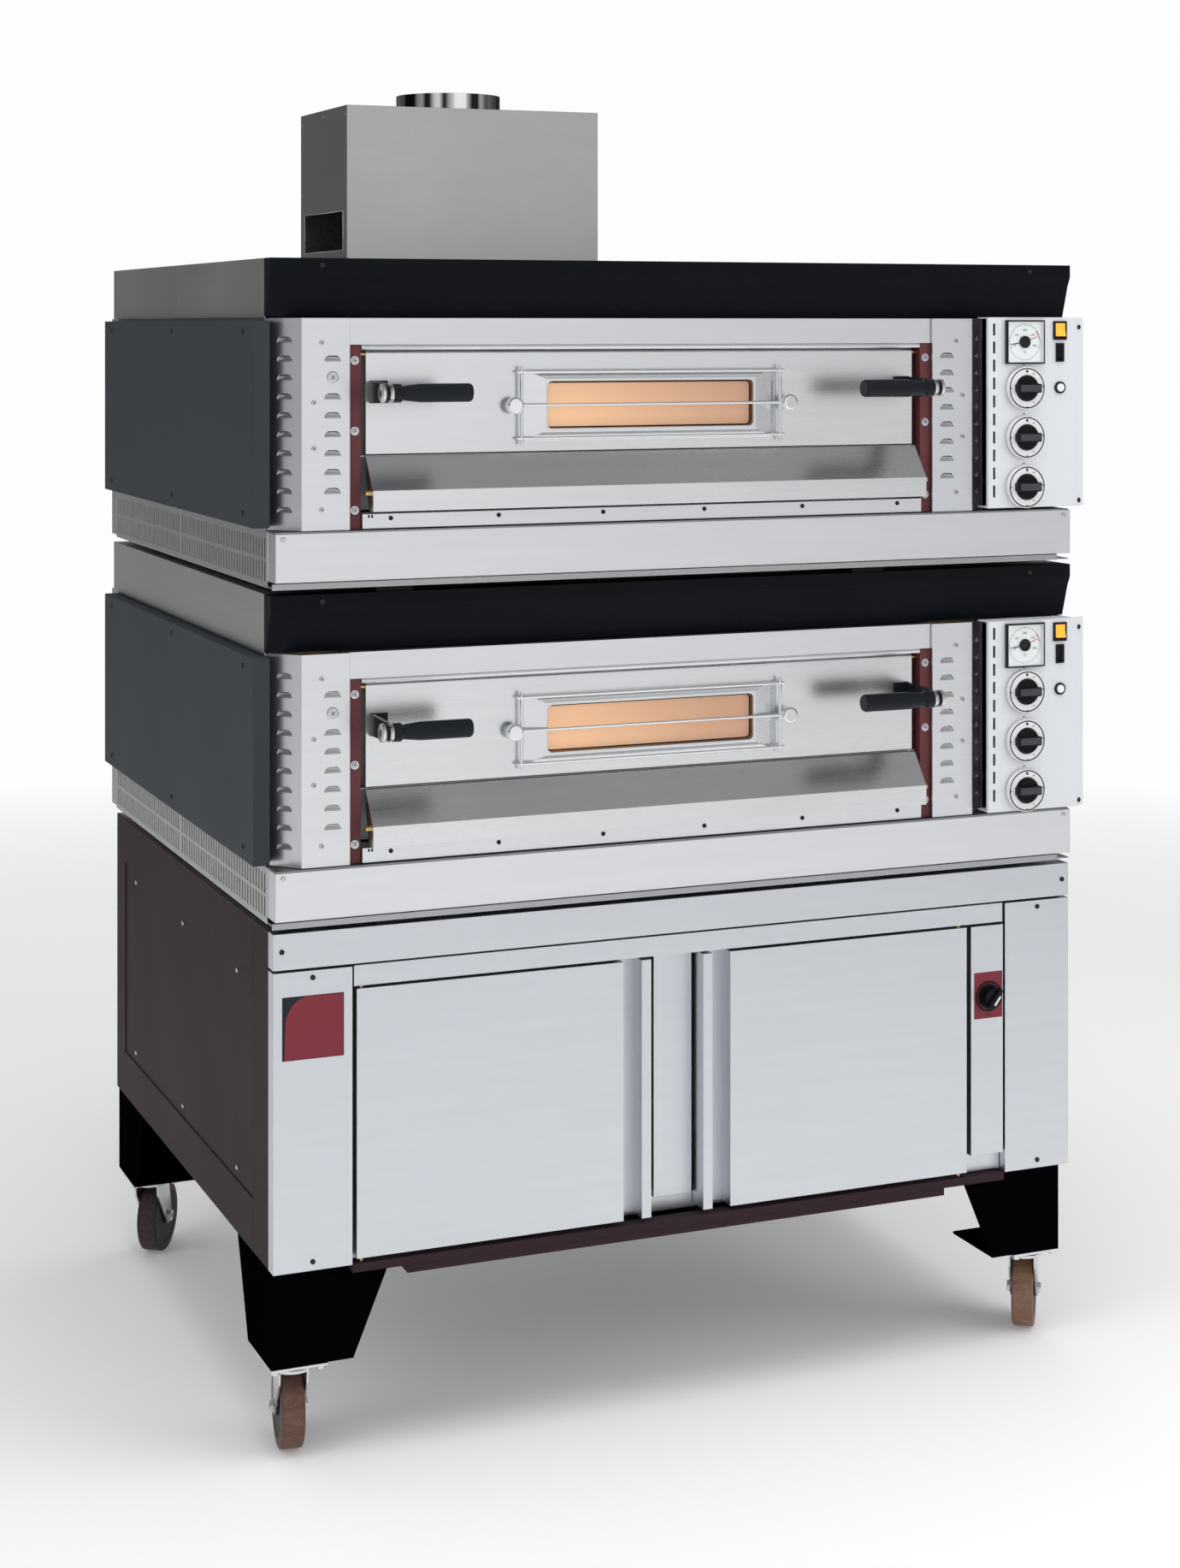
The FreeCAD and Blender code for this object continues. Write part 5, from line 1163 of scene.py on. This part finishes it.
def turnedBox(mesh, origin, axes, low, high, bevel):
    # a bevelled block along three given directions, sizes in mm from the origin
    made = bmesh.ops.create_cube(mesh, size=1.0)
    for vert in made["verts"]:
        share = [(low[i] + (vert.co[i] + 0.5) * (high[i] - low[i])) / 1000 for i in range(3)]
        vert.co = origin + axes[0] * share[0] + axes[1] * share[1] + axes[2] * share[2]
    edges = list({edgeWearAndHighlight for vert in made["verts"] for edgeWearAndHighlight in vert.link_edges})
    bmesh.ops.bevel(mesh, geom=edges, offset=bevel / 1000, segments=2, affect="EDGES", profile=0.5)


castorDress = {"boltReach": 35.0, "boltTop": 144.0, "raceFoot": 138.4, "nutOut": 22.5, "ribs": 6,
               "bolt": [(-0.2, 9.0), (1.0, 9.0), (1.1, 7.4), (5.2, 7.4), (5.8, 6.6)],
               "race": [(0, 28.6), (0.2, 30.4), (1.6, 31.2), (3.2, 30.6), (4.6, 29.4), (4.8, 28.6)],
               "nut": [(-0.1, 11.6), (1.1, 11.6), (1.2, 10.0), (5.0, 10.0), (5.9, 8.8)],
               "rings": ((15.0, [(0, 61.6), (0.3, 62.2), (1.1, 62.1), (1.5, 60.8)]),
                         (16.8, [(0, 47.0), (0.9, 47.0), (1.15, 48.4), (1.1, 52.0), (0.4, 53.4)])),
               "rib": ((3.0, 14.0, -1.6), (10.5, 40.0, 1.6), 0.7)}


def makeCastorDress(name):
    turn = math.radians(castor["turn"][name])
    across = Vector((math.cos(turn), -math.sin(turn), 0))
    pivot = fromHome(castorPivot(name))
    hub = wheelCentre(name)
    fork, wheel = "castor_fork_" + name, "castor_wheel_" + name
    reach = castorDress["boltReach"]
    mesh = bmesh.new()                                     # bolts that hold the plate to the leg
    for dx in (-reach, reach):
        for dy in (-reach, reach):
            head = (pivot[0] + dx, pivot[1] + dy, castorDress["boltTop"])
            lathe(mesh, head, (0, 0, -1), castorDress["bolt"], 6)
    addPiece("plateBolts_" + name, mesh, zincSteel, "oven", smooth=False)
    mesh = bmesh.new()
    lathe(mesh, (pivot[0], pivot[1], castorDress["raceFoot"]), (0, 0, 1), castorDress["race"], 48)
    addPiece("raceSeal_" + name, mesh, rubber, "oven")
    mesh = bmesh.new()
    for side in (-1, 1):
        start = fromHome(hub + across * side * castorDress["nutOut"] / 1000)
        lathe(mesh, start, across * side, castorDress["nut"], 6)
    addPiece("axleNuts_" + name, mesh, zincSteel, fork, smooth=False)
    mesh = bmesh.new()
    for side in (-1, 1):                                   # moulding rings near each edge of the tyre
        for out, profile in castorDress["rings"]:
            lathe(mesh, fromHome(hub + across * side * out / 1000), across * side, profile, 72)
    addPiece("tyreRings_" + name, mesh, nodeFinish[wheel], wheel)
    mesh = bmesh.new()
    count = castorDress["ribs"]
    for side in (-1, 1):
        for step in range(count):
            angle = step * 2 * math.pi / count
            out = Vector((0, 0, 1)) * math.cos(angle) + across.cross(Vector((0, 0, 1))) * math.sin(angle)
            turnedBox(mesh, hub, (across * side, out, out.cross(across)), *castorDress["rib"])
    addPiece("hubRibs_" + name, mesh, blackPlastic, wheel)


for name in castor["turn"]:
    makeCastorDress(name)
print("castors ready")


studio = {"floorReach": 7.0, "floorFade": (2.3, 5.5), "floorGlow": 0.13,
          "front": 0.94, "back": 0.155, "top": 0.30, "below": 0.86, "air": (0.975, 0.985, 1.0, 1),
          "ahead": (-0.2, 0.75), "sides": ((0.0, -1.0, -0.40), (0.37, 0.47, -0.42)),
          "up": (0.25, 0.80), "down": (-0.04, -0.30),
          "lamps": (("overheadSoft", (0.2, -0.6, 5.2), (0, 0, 0), (4.5, 4.5), 190),
                    ("frontRightSoft", (4.6, -4.2, 3.0), (0, 0, 1.0), (4.5, 3.5), 115),
                    ("leftSoft", (-4.5, -1.5, 3.2), (0, 0, 1.0), (2.5, 3.5), 55))}


def makeFloor():
    # pale sheet that thins out into the white air around it
    mesh = bmesh.new()
    bmesh.ops.create_circle(mesh, cap_ends=True, segments=96, radius=studio["floorReach"])
    data = bpy.data.meshes.new("studioFloor")
    mesh.to_mesh(data)
    mesh.free()
    material, tree, shader = startMaterial("paleFloor", {
        "Roughness": 0.8, "Specular IOR Level": 0.1, "Emission Color": (1.0, 1.0, 1.0, 1),
        "Emission Strength": studio["floorGlow"]})
    point = objectPoint(tree)
    tone = noise(tree, point, 0.6, 2.0)
    pale = mixColour(tree, tone, (0.86, 0.86, 0.86, 1), (0.90, 0.90, 0.90, 1))
    plug(tree, pale, shader.inputs["Base Color"])
    reach = vectorMaths(tree, "LENGTH", point)
    low, high = studio["floorFade"]
    plug(tree, rescale(tree, reach, low, high, 1.0, 0.0), shader.inputs["Alpha"])
    data.materials.append(material)
    floor = bpy.data.objects.new("studioFloor", data)
    bpy.context.scene.collection.objects.link(floor)


def makeAir():
    # a bright wall of light in front, a dimmer room behind and overhead, white where nothing stands
    world = bpy.data.worlds.new("studioAir")
    world.use_nodes = True
    tree = world.node_tree
    x, y, z = splitAxes(tree, addNode(tree, "ShaderNodeTexCoord").outputs["Generated"])
    forward = maths(tree, "MULTIPLY", y, -1.0)
    level = rescale(tree, forward, *studio["ahead"], studio["back"], studio["front"])
    dims = [maths(tree, "MULTIPLY_ADD", rescale(tree, x, start, end), dim, 1.0)
            for start, end, dim in studio["sides"]]
    level = maths(tree, "MULTIPLY", level, maths(tree, "MULTIPLY", *dims))
    level = mixNumber(tree, rescale(tree, z, *studio["up"]), level, studio["top"])
    level = mixNumber(tree, rescale(tree, z, *studio["down"]), level, studio["below"])
    shown = mixNumber(tree, addNode(tree, "ShaderNodeLightPath").outputs["Is Camera Ray"], level, 1.0)
    air = tree.nodes["Background"]
    air.inputs[0].default_value = studio["air"]
    plug(tree, shown, air.inputs[1])
    bpy.context.scene.world = world
    bpy.context.scene.view_settings.view_transform = "Standard"


def makeStudio():
    makeFloor()
    makeAir()
    for name, place, target, size, power in studio["lamps"]:
        lamp = bpy.data.lights.new(name, "AREA")
        lamp.shape = "RECTANGLE"
        lamp.size, lamp.size_y = size
        lamp.energy = power
        item = bpy.data.objects.new(name, lamp)
        item.location = place
        item.rotation_euler = (Vector(target) - Vector(place)).to_track_quat("-Z", "Y").to_euler()
        item.visible_glossy = False
        bpy.context.scene.collection.objects.link(item)


makeStudio()
